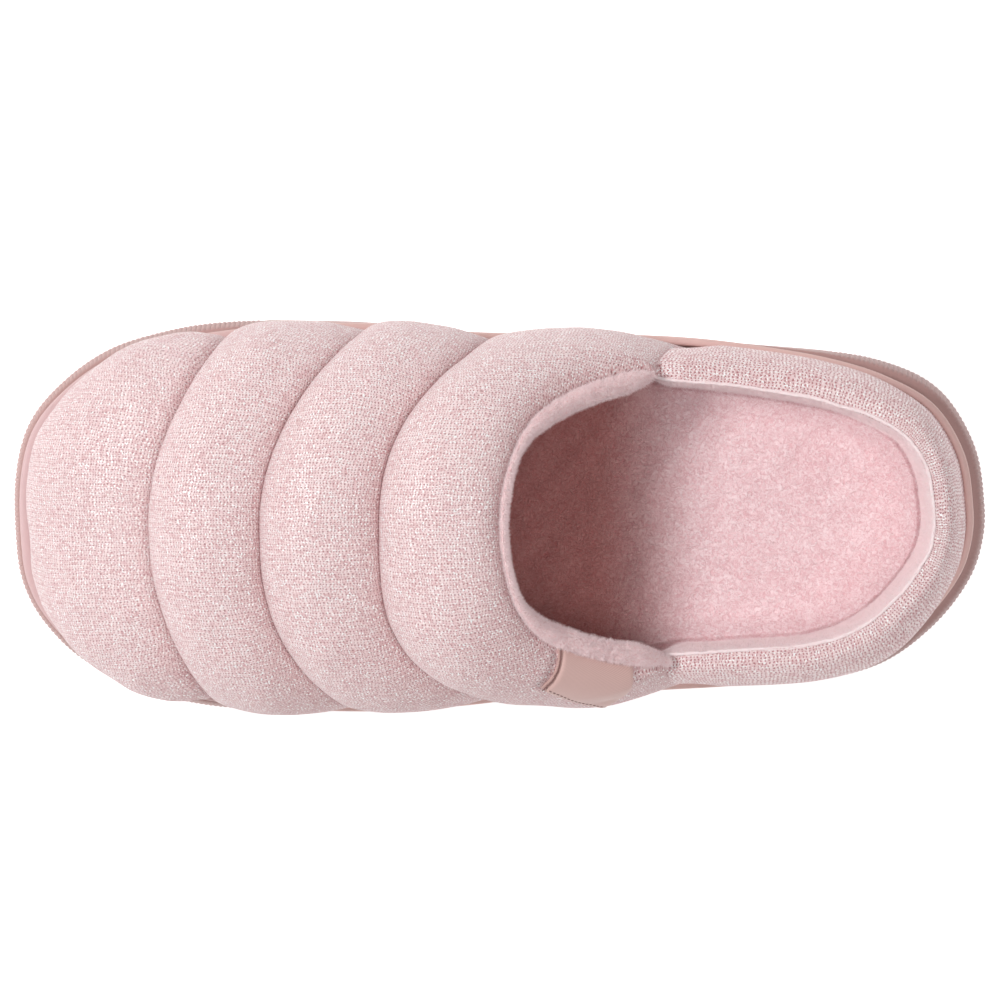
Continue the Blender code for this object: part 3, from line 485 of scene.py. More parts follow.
def build_upper(knit, fleece):
    per_puff = 44
    columns = 216
    rows = [0.0]
    for puff in range(4):
        share = np.arange(1, per_puff + 1) / per_puff
        rows.extend(puff + share - 0.10 * np.sin(2 * math.pi * share))
    u, v = np.meshgrid(np.array(rows), np.linspace(0, 1, columns + 1), indexing="ij")
    u[-1] = 4.0
    base = base_surface(u, v)
    normals = surface_normals(base)
    # the cloth stands upright along its foot
    for pick in (np.s_[0, :], np.s_[:, 0], np.s_[:, -1]):
        normals[pick] = unit(normals[pick] * [1, 1, 0])
    ease = TOE_EASE + (1 - TOE_EASE) * smooth(0, 0.7, u)
    x, y = base[..., 0], base[..., 1]
    side, puff = edge_share(u, v), puff_share(u)
    swell = (puff + SEAM_FADE * (1 - puff) * np.abs(2 * v - 1) ** 8 * (u > 0.5) * (u < 3.5)) * side
    local = u - np.floor(np.minimum(u, 3.999))
    near_seam = np.exp(-((np.minimum(local, 1 - local) / 0.16) ** 2))
    lift = PUFF_OUT * swell * ease + swell * uneven(UPPER_LUMPS, x, y)
    lift += near_seam * swell * uneven(PUCKERS, y + 0.2 * x, 0.3 * x)
    for crease_u, crease_v, long, wide, deep in CREASES:
        du, dv = (u - crease_u) / long, (v - crease_v) / wide
        lift -= deep * MM * np.exp(-(du**2) - dv**2) * side
    lift -= SEAM_GROOVE * MM * side * np.exp(-(((u - 1) / 0.055) ** 2))
    outer = base + normals * lift[..., None]
    inner = base - normals * (SEAM_WALL + PUFF_IN * puff * side)[..., None]
    # the cloth turns in ahead of the sole's lip at the toe
    turn_in = LIP_SHOW * np.exp(-(((base[..., 2] - lip_top(x)) / (7 * MM)) ** 2)) * rise(0.08, 0.24, x)
    for grid in (outer, inner):
        grid[..., :2] -= unit(normals[..., :2]) * turn_in[..., None]
    far = np.full(x.shape, 1.0)
    for spot in tab_edge(outer, u):
        far = np.minimum(far, np.linalg.norm(outer - spot, axis=-1))
    outer -= normals * (0.9 * MM * np.exp(-((far / (0.75 * MM)) ** 2)))[..., None]
    # two skins, then their feet, which stand on the deck
    n, m = u.shape
    count = n * m
    ids = np.arange(count).reshape(n, m)
    edge = np.concatenate([ids[:0:-1, 0], ids[0], ids[1:, -1]])
    skins = [grid.reshape(-1, 3) for grid in (outer, inner)]
    feet = [raised(skin[edge, :2], (deck(x) + GAP).ravel()[edge]) for skin in skins]
    uv = knit_coordinates(outer, x, y).reshape(-1, 2)
    foot = 2 * count + np.arange(len(edge))
    lines = [edge, foot, foot + len(edge), count + edge]
    skirts = [strip(a, b) for a, b in zip(lines, lines[1:])]
    rim = strip(ids[-1], count + ids[-1])
    ends = np.array([[line[0] for line in lines], [line[-1] for line in lines[::-1]]])
    inside = grid_faces(n, m, offset=count, flip=True)
    faces = [grid_faces(n, m), inside, *skirts, rim, ends]
    marks = np.concatenate([np.full(len(f), int(f is inside)) for f in faces])
    uvs = np.concatenate([uv, uv, uv[edge], uv[edge]])
    vertices = np.concatenate(skins + feet)
    # the inside faces take the second material, for the vamp a fleece painted dark as shade
    upper = make("upper_cloth", vertices, faces, knit, uvs, ("upper",), 60, fleece, marks)
    return outer, inner, u, v


def arc_across(x, y):
    """Length over the dome from its crown line to each point, positive to the outer side."""
    stations = np.linspace(-0.075, TOE_X - 0.004, 120)
    columns = 160
    shares = np.sin(np.linspace(-math.pi / 2, math.pi / 2, columns + 1))
    grid_x = stations[:, None] + 0 * shares
    grid_y = FEATHER.across(grid_x, shares)
    step = np.hypot(np.diff(grid_y, axis=1), np.diff(base_height(grid_x, grid_y), axis=1))
    length = np.concatenate([np.zeros((len(stations), 1)), np.cumsum(step, axis=1)], axis=1)
    length -= length[:, [columns // 2]]
    eta = np.clip((y - FEATHER.middle(x)) / FEATHER.half_width(x), -1, 1)
    column = (np.arcsin(eta) / math.pi + 0.5) * columns
    row = np.clip((x - stations[0]) / (stations[1] - stations[0]), 0, len(stations) - 1.001)
    r, c = row.astype(int), np.clip(column.astype(int), 0, columns - 1)
    return between(length, r, c, row - r, column - c)


# Collar, lining and binding


def swept(name, rings, material, uv, replaces):
    """A closed body through rings, n x m x 3, capped at both ends."""
    n, m = rings.shape[:2]
    faces = [grid_faces(n, m, wrap=True, flip=True)]
    centres = np.stack([rings[0].mean(0), rings[-1].mean(0)])
    vertices = np.concatenate([rings.reshape(-1, 3), centres])
    first, last = np.arange(m), (n - 1) * m + np.arange(m)
    faces.append(np.stack([np.full(m, n * m), first, np.roll(first, -1)], axis=-1))
    faces.append(np.stack([np.full(m, n * m + 1), np.roll(last, -1), last], axis=-1))
    uvs = np.concatenate([uv.reshape(-1, 2), uv.reshape(-1, 2)[[0, -1]]])
    return make(name, vertices, faces, material, uvs, replaces, 55)


def tail_shift(tails, side, z):
    return np.minimum(*[np.interp(z, heights, places) for heights, places in tails[side]])


def heel_lean(x):
    return HEEL_LEAN * (1 - rise(-0.50, -0.30, x))


def collar_rings(section, face, wall, foot_lean, tails, stations, forward):
    """Rings around the heel. forward: how far the ends run on towards the toe, under the upper's tails."""
    shares = spline(section, 5)
    share = np.clip(shares[:, 1], 0, 1)[None]
    inset = (face + wall * shares[:, 0])[None]
    high = smooth(*LEAN_SPAN, shares[:, 1])
    lean = np.maximum(np.maximum(foot_lean, np.clip(shares[:, 0], 0, 1)), high)[None]
    outside = np.clip(1 - 1.3 * shares[:, 0], 0, 1) * (1 - foot_lean)
    slim = (HEEL_SLIM * high * outside)[None]
    inner_end, outer_end = (RIM.travel_of(np.array([JOINT_TOP_X, y])) for y in RIM.sides(JOINT_TOP_X))
    start, end = outer_end - forward, inner_end + RIM.length + forward
    travel = np.linspace(start, end, stations)[:, None]
    from_start, from_end = travel - start, end - travel
    fade = smooth(0, JOINT_RUN, from_end) - smooth(0, JOINT_RUN, from_start)
    low = deck(JOINT_TOP_X)
    z = low + share * (collar_top(RIM.at(travel[:, 0])[0][:, 0])[:, None] - low)
    edge = np.where(fade > 0, tail_shift(tails, 1, z), tail_shift(tails, -1, z))
    point, normal = RIM.at(travel + (JOINT_TOP_X - edge + JOINT_GAP) * fade)
    at_heel = heel_lean(point[..., 0])
    ends = END_SLIM[1] * (1 - smooth(0, END_SLIM_RUN, from_start))
    ends = ends + END_SLIM[-1] * (1 - smooth(0, END_SLIM_RUN, from_end))
    inset = inset + ends * outside + RIM_SHIFT * (1 - high) * outside * at_heel / HEEL_LEAN
    from_corner = (point[..., 0] - FULL_CORNER[0]) ** 2 + (point[..., 1] - FULL_CORNER[1]) ** 2
    full = np.exp(-(from_corner / FULL_SPREAD**2))
    inset = inset - FULLNESS * full * outside * np.sin(math.pi * share) ** 0.7
    plan = point - normal * (inset + lean * at_heel + slim * at_heel / HEEL_LEAN)[..., None]
    floor = deck(plan[..., 0]) + GAP
    tuck = (1 - smooth(0, TUCK_RUN, np.minimum(from_start, from_end))) * share**2
    z = floor + (collar_top(point[..., 0]) - floor) * share - TUCK_DROP * tuck
    plan = plan - normal * (TUCK_IN * tuck * (1 - lean))[..., None]
    rings = raised(plan, z)
    climb = ROLL_STRETCH * COLLAR_RISE * np.diff(shares[:, 1])
    across = run_of(np.hypot(np.diff(inset[0]), climb))
    uv = paired(across[None], travel) / MM
    return rings, uv, normal


def collar_top(x):
    return HEEL_COLLAR_HEIGHT + (SIDE_COLLAR_HEIGHT - HEEL_COLLAR_HEIGHT) * rise(-0.47, -0.25, x)


def build_collar(tails, knit):
    stations = 420
    wall = COLLAR_WALL + GAP
    rings, uv, normal = collar_rings(COLLAR_SECTION, LIP_THICKNESS, wall, 0.0, tails, stations, 0.002)
    lift = uneven(COLLAR_LUMPS, *np.moveaxis(rings, -1, 0)) * smooth(0.024, 0.036, rings[..., 2])
    rings[..., :2] += normal * lift[..., None]
    rings[..., 2] += lift
    collar = swept("collar_cloth", rings, knit, uv, ("heel_collar",))


def build_lining(tails, fleece):
    stations = 640
    face = LIP_THICKNESS + COLLAR_WALL + 2 * GAP - LINING_TUCK
    wall = LINING_WALL - LINING_SLIM + LINING_TUCK
    rings, uv, normal = collar_rings(LINING_SECTION, face, wall, 1.0, tails, stations, 0.009)
    # its ends move outward and down, under the upper's tails
    near_end = np.minimum(uv[..., 1] - uv[0, 0, 1], uv[-1, 0, 1] - uv[..., 1])
    away = 1 - smooth(0, LINING_END_RUN, near_end)
    rings[..., :2] += normal * (LINING_END_OUT * away)[..., None]
    rings[..., 2] -= LINING_END_DROP * away * smooth(0.022, 0.046, rings[..., 2])
    rings[..., :2] += normal * uneven(LINING_LUMPS, *np.moveaxis(rings, -1, 0))[..., None]
    swept("lining_plush_band", rings, fleece, uv, ("collar_lining",))
    return rings


def build_binding(outer, inner, v, fleece):
    """Fleece strip seated on the throat's edge, thin in the middle and wider along the arms."""
    count = 760
    want = np.linspace(CORNER_SHARE + BINDING_START, 1 - CORNER_SHARE + BINDING_END, count)
    top, low = (on_line(grid[-1], v[0], want) for grid in (outer, inner))
    middle = (top + low) / 2
    along = unit(np.gradient(middle, axis=0))
    away = unit(np.cross(top - low, along))
    up = np.cross(along, away)
    reach = np.abs(np.cos(math.pi * want)) / THROAT_CORNER
    width = BINDING_MIDDLE_WIDTH + (BINDING_WIDTH - BINDING_MIDDLE_WIDTH) * smooth(0.45, 0.88, reach)
    travel = run_of(np.linalg.norm(np.diff(middle, axis=0), axis=1))
    from_end = np.minimum(travel, travel[-1] - travel)
    size = 0.40 + 0.60 * smooth(0, 0.011, from_end) ** 0.7
    centre = middle + away * (BINDING_SEAT - 0.3 * MM + width * size / 2)[:, None] + up * (0.3 * MM)
    angle = np.linspace(0, 2 * math.pi, 48, endpoint=False)
    squared = [(np.sign(k) * np.abs(k) ** 0.85)[:, None] for k in (np.cos(angle), np.sin(angle))]
    rings = (
        centre[:, None] + away[:, None] * squared[0] * (width * size / 2)[:, None, None]
        + up[:, None] * squared[1] * (BINDING_HEIGHT * size / 2)[:, None, None]
    )
    lift = uneven(BINDING_LUMPS, *np.moveaxis(rings, -1, 0))
    lift *= 0.4 + 0.6 * smooth(0, 0.004, from_end)[:, None]
    rings += unit(rings - centre[:, None]) * lift[..., None]
    uv = paired(travel[:, None], (angle * 2.6 * MM)[None]) / MM
    swept("binding_plush_roll", rings, fleece, uv, ("throat_binding",))
    return rings


# Footbed


def insole_inset(x):
    heel = LIP_THICKNESS + COLLAR_WALL + LINING_WALL + 3 * GAP
    return heel + heel_lean(x) + (INSOLE_TOE_INSET - heel) * rise(-0.190, -0.075, x)


def footbed_top(x, edge):
    """Height of the footbed, cupped at the heel, with a soft edge. edge: 0 at the rim, 1 in the middle."""
    heel = 1 - rise(-0.20, 0.0, x)
    cup = (0.8 * (1 - smooth(0.0, 0.55, edge)) + 3.4 * (1 - smooth(0.0, 0.24, edge))) * MM * heel
    dip = (2.2 - 0.6 * heel) * MM * (1 - smooth(0.030, 0.080, edge))
    return deck(x) + GAP + INSOLE_THICKNESS + cup - dip


def build_insole(terry):
    stations = 480
    rings = 130
    travel = np.arange(stations) / stations * RIM.length
    point, normal = RIM.at(travel)
    edge_line = point - normal * (insole_inset(point[:, 0]) - FOOTBED_TUCK)[:, None]
    middle = spine(point[:, 0])
    share = np.linspace(0, 1, rings)[:, None]
    plan = edge_line[None] * (1 - share[..., None]) + middle[None] * share[..., None]
    x, y = plan[..., 0], plan[..., 1]
    top = raised(plan, footbed_top(x, share + 0 * x) + uneven(FOOTBED_LUMPS, x, y))
    low, under = (raised(line, deck(line[:, 0]) + GAP) for line in (edge_line, middle))
    grid = np.concatenate([under[None], low[None], top])
    uv = grid[..., :2].reshape(-1, 2) / MM
    faces = [grid_faces(rings + 2, stations, wrap=True)]
    insole = make("footbed_plush", grid.reshape(-1, 3), faces, terry, uv, ("insole",), 60)
    return top


# Sole


def build_sole(rubber):
    waist_step = 2.4 * MM
    per_rib = 8
    travel, ribs = [], []
    position = 0.0
    while position < RIM.length - 0.2 * MM:
        x = RIM.at(position)[0][0]
        if stepped(x) > 0.5:
            for k in range(per_rib):
                travel.append(position + RIB_PITCH * k / per_rib)
                ribs.append(abs(math.sin(math.pi * k / per_rib)) ** 0.7)
            position += RIB_PITCH
        else:
            travel.append(position)
            ribs.append(1.0)
            position += waist_step
    inside = np.array(travel) < RIM.length - 0.1 * MM
    travel, ribs = np.array(travel)[inside], np.array(ribs)[inside]
    point, normal = RIM.at(travel)
    x = point[:, 0]
    fade = np.clip(4 * stepped(x) - 2, 0, 1)
    notch = (1 - ribs) * fade * RIB_DEPTH
    step = stepped(x) * MM
    top, low = lip_top(x), ground(x)
    band = low + WALL_BAND_SHARE * (top - low)
    spread = flare(x)
    wide = MM * (1 + 0.55 * rise(0.08, 0.24, x))
    back = -RIM_SHIFT * (1 - rise(-0.46, -0.30, x) + rise(0.08, 0.24, x))
    # outward, height, rib share: from the tread up the wall, over the lip and down to the deck
    loops = [
        (spread - 12 * MM, low, 0), (spread - 1.6 * MM, low, 0),
        (spread - 0.8 * MM, low + 0.12 * MM, 0.2), (spread - 0.25 * MM, low + 0.5 * MM, 0.7),
        (spread, low + 1.2 * MM, 1.0), (0.96 * spread, low + 0.25 * (band - low), 1.0),
        (0.86 * spread + 0.3 * back, low + 0.60 * (band - low), 1.0),
        (0.72 * spread + 0.7 * back, band - 1.4 * MM, 1.0),
        (0.68 * spread + 0.8 * back, band - 0.7 * MM, 1.0),
        (0.60 * spread + back, band - 0.25 * MM, 0.8), (0.50 * spread + back, band, 0.3),
        (0.30 * spread + back - 0.2 * step, band + 0.02 * MM, 0), (back - 0.50 * step, band + 0.10 * MM, 0),
        (back - 0.62 * step, band + 0.45 * MM, 0), (back - 0.45 * step, band + 0.90 * MM, 0),
        (back - 0.10 * step, band + 1.15 * MM, 0), (back, band + 1.5 * MM, 0), (back, top - 1.0 * MM, 0),
        (back - 0.10 * MM, top - 0.55 * MM, 0), (back - 0.38 * MM, top - 0.16 * MM, 0),
        (back - 0.85 * MM, top, 0), (back - 1.55 * wide, top - 0.02 * MM, 0),
        (back - 2.0 * wide, top - 0.22 * MM, 0), (back - 2.25 * wide, top - 0.7 * MM, 0),
        (back - 2.4 * wide, deck(x) + 0.6 * MM, 0), (back - 2.9 * wide, deck(x), 0),
        (0 * x - 12 * MM, deck(x), 0),
    ]
    rows = [raised(point + normal * (away - notch * rib)[:, None], height) for away, height, rib in loops]
    middle = spine(x)
    under, over = [], []
    for share in (0.75, 0.5, 0.25, 0.0):
        for row, height, half in ((rows[0], ground, under), (rows[-1], deck, over)):
            flat = middle + (row[:, :2] - middle) * share
            half.append(raised(flat, height(flat[:, 0])))
    grid = np.array(under[::-1] + rows + over)
    # second cloth coordinate: the number of the loop, so that the material can paint the lip lighter than
    # the wall
    uv = paired(travel[None] / MM, np.arange(len(grid))[:, None]).reshape(-1, 2)
    faces = [grid_faces(len(grid), len(travel), wrap=True)]
    make("sole_rubber_cup", grid.reshape(-1, 3), faces, rubber, uv, ("sole",), 50)


# Side tab


# Top and bottom of the tab's sides: shares along the sole and across the upper's columns
TAB_LINES = {"front": ((-0.055, 0.745), (-0.036, 0.800)), "rear": ((-0.128, 0.815), (-0.098, 0.893))}
TAB_WIDTH, TAB_LENGTH = 20.0, 18.0  # millimetres
STITCHES = 17


def on_upper(outer, rows, along, column):
    """Points of the upper's outside at a place along the shoe and a column, on the last puff."""
    eta = -np.cos(math.pi * column)
    before, after = across_x(2, eta), across_x(3, eta)
    share = np.clip((before - along) / (before - after), 0.0, 0.995)
    r = np.interp(3 + share, rows, np.arange(len(rows)))
    c = column * (outer.shape[1] - 1)
    i = np.minimum(r.astype(int), len(rows) - 2)
    j = np.minimum(c.astype(int), outer.shape[1] - 2)
    return between(outer, i, j, (r - i)[..., None], (c - j)[..., None])


def tab_line(side, down):
    top, low = (np.array(place) for place in TAB_LINES[side])
    return top + (low - top) * down[..., None]


def tab_edge(outer, u):
    """The line just ahead of the tab's front edge, where the cloth dips under it."""
    down = np.linspace(0.05, 1, 60)
    place = tab_line("front", down)
    along = place[:, 0] * SOLE_LENGTH - 1.2 * MM * np.sin(math.pi * down) + 0.5 * MM
    return on_upper(outer, u[:, 0], along, place[:, 1])


def build_tab(outer, u, ribbon, thread_and_shadow):
    """Bare folded ribbon tab from under the binding down the outer side, sewn along its lower edge."""
    n, m = 48, 48
    back, down = np.meshgrid(np.linspace(0, 1, n + 1), np.linspace(0, 1, m + 1), indexing="ij")
    front, rear = tab_line("front", down), tab_line("rear", down)
    place = front + (rear - front) * back[..., None]
    along = place[..., 0] * SOLE_LENGTH - (1.2 + 0.8 * back) * MM * np.sin(math.pi * down)
    points = on_upper(outer, u[:, 0], along, place[..., 1])
    normals = surface_normals(points)
    normals *= np.sign(normals[..., 1:2] + normals[..., 2:3])
    for _ in range(6):
        beside = normals[:-2, 1:-1] + normals[2:, 1:-1] + normals[1:-1, :-2] + normals[1:-1, 2:]
        normals[1:-1, 1:-1] = beside / 4
    normals = unit(normals)
    puff = np.sin(math.pi * np.clip(down, 0, 0.96)) ** 0.6 * (0.6 + 0.4 * np.sin(math.pi * back))
    lift = (0.45 + 0.65 * puff)[..., None] * MM
    edge = np.minimum(np.minimum(back, 1 - back) * TAB_WIDTH, (1 - down) * TAB_LENGTH)
    low = points + normals * (lift - 0.25 * MM)
    front_dip = 1.5 * MM * np.exp(-((back * TAB_WIDTH / 0.75) ** 2))[..., None]
    high = points + normals * (lift + 0.50 * MM - 0.30 * MM * np.exp(-edge / 0.35)[..., None] - front_dip)
    count = (n + 1) * (m + 1)
    ids = np.arange(count).reshape(n + 1, m + 1)
    ring = np.concatenate([ids[0, :-1], ids[:-1, -1], ids[-1, :0:-1], ids[::-1, 0]])
    side = strip(ring, count + ring)
    uvs = np.concatenate([np.stack([back * TAB_WIDTH, down * (TAB_LENGTH - 1)], axis=-1).reshape(-1, 2)] * 2)
    vertices = np.concatenate([low.reshape(-1, 3), high.reshape(-1, 3)])
    faces = [grid_faces(n + 1, m + 1, flip=True), grid_faces(n + 1, m + 1, offset=count), side]
    make("tab_ribbon_fold", vertices, faces, ribbon, uvs, ("side_tab",), 50)
    stitches(high, normals, thread_and_shadow)
    # painted shadow: a dark tube along the tab's front edge
    painted_front_shadow(points[1, 2:], normals[1, 2:], thread_and_shadow)


def painted_front_shadow(line, out, thread_and_shadow):
    """A thin dark tube in the crease along the tab's front edge: a painted shadow where the tab stands over
    the cloth.
    """
    side = np.cross(unit(np.gradient(line, axis=0)), out)
    angle = np.linspace(0, 2 * math.pi, 8, endpoint=False)[:, None]
    turned = side[:, None] * np.cos(angle) + out[:, None] * np.sin(angle)
    rings = (line + 0.95 * MM * out)[:, None] + 0.20 * MM * turned
    swept("tab_front_painted_shadow", rings, thread_and_shadow, np.zeros((*rings.shape[:2], 2)), ())


def stitches(surface, normals, thread_and_shadow):
    """A row of short stitches along the tab's lower edge."""
    steps = np.arange(len(surface))
    row, out = surface[:, -5], normals[:, -5]
    box = np.array([(4, 5, 6, 7), (0, 1, 5, 4), (1, 2, 6, 5), (2, 3, 7, 6), (3, 0, 4, 7)])
    vertices, faces = [], []
    for k in range(STITCHES):
        start, end = (on_line(row, steps, (k + share) / STITCHES * steps[-1]) for share in (0.25, 0.75))
        lift = out[int((k + 0.5) / STITCHES * steps[-1])]
        side = 0.17 * MM * unit(np.cross(end - start, lift))
        corners = [start - side, start + side, end + side, end - side]
        vertices += [c - 0.05 * MM * lift for c in corners] + [c + 0.10 * MM * lift for c in corners]
        faces.append(box + 8 * k)
    make("tab_stitches", np.array(vertices), faces, thread_and_shadow)


# Plush fibres


def scatter(points, count, seed, keep=None, around=True):
    """Random anchors on a grid of points, even by area, with normals away from the middle of each row."""
    rng = np.random.default_rng(seed)
    a, b, c, d = points[:-1, :-1], points[:-1, 1:], points[1:, 1:], points[1:, :-1]
    cross = np.cross(c - a, d - b).reshape(-1, 3)
    area = np.linalg.norm(cross, axis=1)
    if keep is not None:
        area = area * keep(((a + b + c + d) / 4).reshape(-1, 3))
    picked = rng.choice(len(area), size=count, p=area / area.sum())
    middle = points.mean(axis=1)[picked // (points.shape[1] - 1)]
    s, t = rng.random((count, 1)), rng.random((count, 1))
    a, b, c, d = (k.reshape(-1, 3)[picked] for k in (a, b, c, d))
    place = (a * (1 - s) + b * s) * (1 - t) + (d * (1 - s) + c * s) * t
    normal = unit(cross[picked])
    away = np.sum(normal * (place - middle), axis=1, keepdims=True) if around else normal[:, 2:3]
    return place, normal * np.sign(away)


def above_footbed(points):
    return (points[:, 2] > 0.030).astype(float)


FIBRE_SPREAD = 0.42
FIBRE_LENGTHS = (0.45, 1.15)
FIBRE_ROOT = 0.15 * MM


def pile(name, points, count, seed, long, wide, material, slot, lean=(0.0, 0.0, 0.0), **choice):
    """Short fine fibres, as thin triangles, all over a grid of points. long and wide: millimetres."""
    count = int(count * (1.0))
    anchors, outward = scatter(points, count, seed, **choice)
    rng = np.random.default_rng(seed + 1)
    direction = unit(outward + lean + rng.normal(scale=FIBRE_SPREAD, size=(count, 3)))
    side = unit(np.cross(direction, rng.normal(size=(count, 3)))) * (wide * MM / 2)
    base = anchors - outward * FIBRE_ROOT
    tip = base + direction * (long * MM * rng.uniform(*FIBRE_LENGTHS, size=(count, 1)))
    vertices = np.stack([base - side, base + side, tip], axis=1).reshape(-1, 3)
    make(name, vertices, [np.arange(3 * count).reshape(-1, 3)], material)


# Materials


class Nodes:
    """Short calls that add shader nodes to one material."""

    def __init__(self, name):
        self.material = bpy.data.materials.new(name)
        self.material.use_nodes = True
        self.tree = self.material.node_tree
        self.shader = self.tree.nodes["Principled BSDF"]

    def node(self, kind, **values):
        made = self.tree.nodes.new(kind)
        for key, value in values.items():
            setattr(made, key, value)
        return made

    def link(self, source, target):
        if hasattr(source, "is_linked"):
            self.tree.links.new(source, target)
        else:
            target.default_value = source

    def fed(self, made, *values):
        """Feed a node's sockets in their order and return its first output."""
        for socket, value in zip(made.inputs, values):
            self.link(value, socket)
        return made.outputs[0]

    def math(self, operation, *values):
        return self.fed(self.node("ShaderNodeMath", operation=operation), *values)

    def plus(self, a, b):
        return self.math("ADD", a, b)

    def minus(self, a, b):
        return self.math("SUBTRACT", a, b)

    def times(self, a, b):
        return self.math("MULTIPLY", a, b)

    def combine(self, *parts):
        return self.fed(self.node("ShaderNodeCombineXYZ"), *parts)

    def split(self, vector):
        made = self.node("ShaderNodeSeparateXYZ")
        self.link(vector, made.inputs[0])
        return made.outputs

    def mix(self, share, first, second, blend="MIX"):
        made = self.node("ShaderNodeMix", data_type="RGBA", blend_type=blend)
        self.link(share, made.inputs[0])
        for socket, value in ((made.inputs[6], first), (made.inputs[7], second)):
            self.link(value if hasattr(value, "is_linked") else (*value, 1.0), socket)
        return made.outputs[2]

    def deeper(self, color, tint):
        return self.mix(1.0, color, tint, "MULTIPLY")

    def ramp(self, value, *stops):
        made = self.node("ShaderNodeValToRGB")
        self.link(value, made.inputs[0])
        elements = made.color_ramp.elements
        while len(elements) < len(stops):
            elements.new(0.5)
        for element, (position, color) in zip(elements, stops):
            element.position = position
            element.color = (*color, 1.0)
        return made.outputs[0]

    def span(self, value, low, high, to_low=0.0, to_high=1.0):
        """A soft step of a value between two limits."""
        made = self.node("ShaderNodeMapRange", interpolation_type="SMOOTHSTEP")
        return self.fed(made, value, low, high, to_low, to_high)

    def noise(self, vector, scale, detail=2.0, rough=0.5, distortion=0.0):
        made = self.node("ShaderNodeTexNoise")
        self.link(vector, made.inputs["Vector"])
        values = {"Scale": scale, "Detail": detail, "Roughness": rough, "Distortion": distortion}
        for key, value in values.items():
            made.inputs[key].default_value = value
        return made.outputs["Fac"]

    def cloth(self):
        """The two cloth coordinates."""
        return self.split(self.node("ShaderNodeUVMap", uv_map="cloth").outputs[0])

    def place(self):
        """Position in millimetres."""
        scaled = self.node("ShaderNodeVectorMath", operation="SCALE")
        self.link(self.node("ShaderNodeTexCoord").outputs["Object"], scaled.inputs[0])
        scaled.inputs["Scale"].default_value = 1000.0
        return scaled.outputs[0]

    def bump(self, height, distance, strength=1.0):
        made = self.node("ShaderNodeBump")
        made.inputs["Strength"].default_value = strength
        made.inputs["Distance"].default_value = distance
        self.link(height, made.inputs["Height"])
        return made.outputs[0]

    def finish(self, **values):
        for key, value in values.items():
            socket = self.shader.inputs[key.replace("_", " ")]
            if isinstance(value, tuple):
                socket.default_value = (*value, 1.0)
            else:
                self.link(value, socket)
        return self.material


# Heathered yarn: the stops of its colours
YARN = [
    (0.12, (0.66, 0.38, 0.39)), (0.36, (0.81, 0.58, 0.59)),
    (0.60, (0.89, 0.71, 0.71)), (0.88, (0.83, 0.68, 0.69)),
]
GAP_DEEPER = 0.82


def knit_material(name, wale, course, openness, centre, gap_color, painted_slope_shade=None):
    """Stocking knit of heathered pink yarn with a thin silver strand.

    wale, course: width and height of a stitch in millimetres. openness: depth of its holes. centre: how
    open they are in a wale's middle. painted_slope_shade: painted shade, a colour share on slopes facing the
    heel and the outer side.
    """
    n = Nodes(name)
    place = n.place()
    uv = n.cloth()
    sway_t = n.times(n.minus(n.noise(place, 0.16), 0.5), 1.6)
    sway_s = n.times(n.minus(n.noise(place, 0.30), 0.5), 2.0)
    t = n.math("DIVIDE", n.plus(uv[0], sway_t), wale)
    s = n.math("DIVIDE", n.plus(uv[1], sway_s), course)
    across = n.math("FRACT", t)
    leg = n.math("ABSOLUTE", n.minus(n.times(across, 2.0), 1.0))
    slanted = n.plus(s, n.times(leg, 0.45))
    turn = 2 * math.pi
    weave = n.times(n.math("COSINE", n.times(t, turn)), n.math("COSINE", n.times(slanted, turn)))
    open_share = n.math("MULTIPLY_ADD", n.times(leg, leg), 1 - centre, centre)
    hole = n.times(n.span(weave, -0.95, 0.10, 1.0, 0.0), open_share)
    furrow = n.times(n.math("POWER", leg, 5.0), 0.22)
    height = n.minus(n.math("MULTIPLY_ADD", hole, -openness, 1.0), furrow)
    cell = n.combine(n.math("FLOOR", t), n.math("FLOOR", slanted), n.math("GREATER_THAN", across, 0.5))
    white = n.node("ShaderNodeTexWhiteNoise")
    n.link(cell, white.inputs[0])
    pick = n.node("ShaderNodeSeparateColor")
    n.link(white.outputs["Color"], pick.inputs[0])
    strand = n.math("MULTIPLY_ADD", pick.outputs[0], 0.46, 0.12)
    yarn = n.ramp(n.plus(strand, n.times(n.noise(place, 0.45, 3.0), 0.26)), *YARN)
    gap = n.mix(pick.outputs[1], gap_color, tuple(GAP_DEEPER * part for part in gap_color))
    color = n.mix(n.span(height, 0.12, 0.80), gap, yarn)
    if painted_slope_shade:
        # painted shade: slopes that face the heel and the outer side are darkened by their facing
        facing = n.split(n.node("ShaderNodeTexCoord").outputs["Normal"])
        away = n.math("MULTIPLY_ADD", facing[0], -0.85, n.times(facing[1], 0.45))
        color = n.mix(n.span(away, -0.05, 0.60), color, n.deeper(color, painted_slope_shade))
    silver = n.times(n.span(n.noise(place, 2.0, 1.0), 0.585, 0.64), n.span(height, 0.45, 0.75))
    return n.finish(
        Base_Color=n.mix(silver, color, (1.0, 0.98, 0.98)), Metallic=n.times(silver, 0.20),
        Roughness=n.span(silver, 0.0, 1.0, 0.85, 0.35), Specular_IOR_Level=0.3,
        Sheen_Weight=0.30, Sheen_Roughness=0.5, Sheen_Tint=(1.0, 0.92, 0.92),
        Normal=n.bump(n.plus(height, n.times(pick.outputs[1], 0.25)), 0.00026, 0.8),
    )


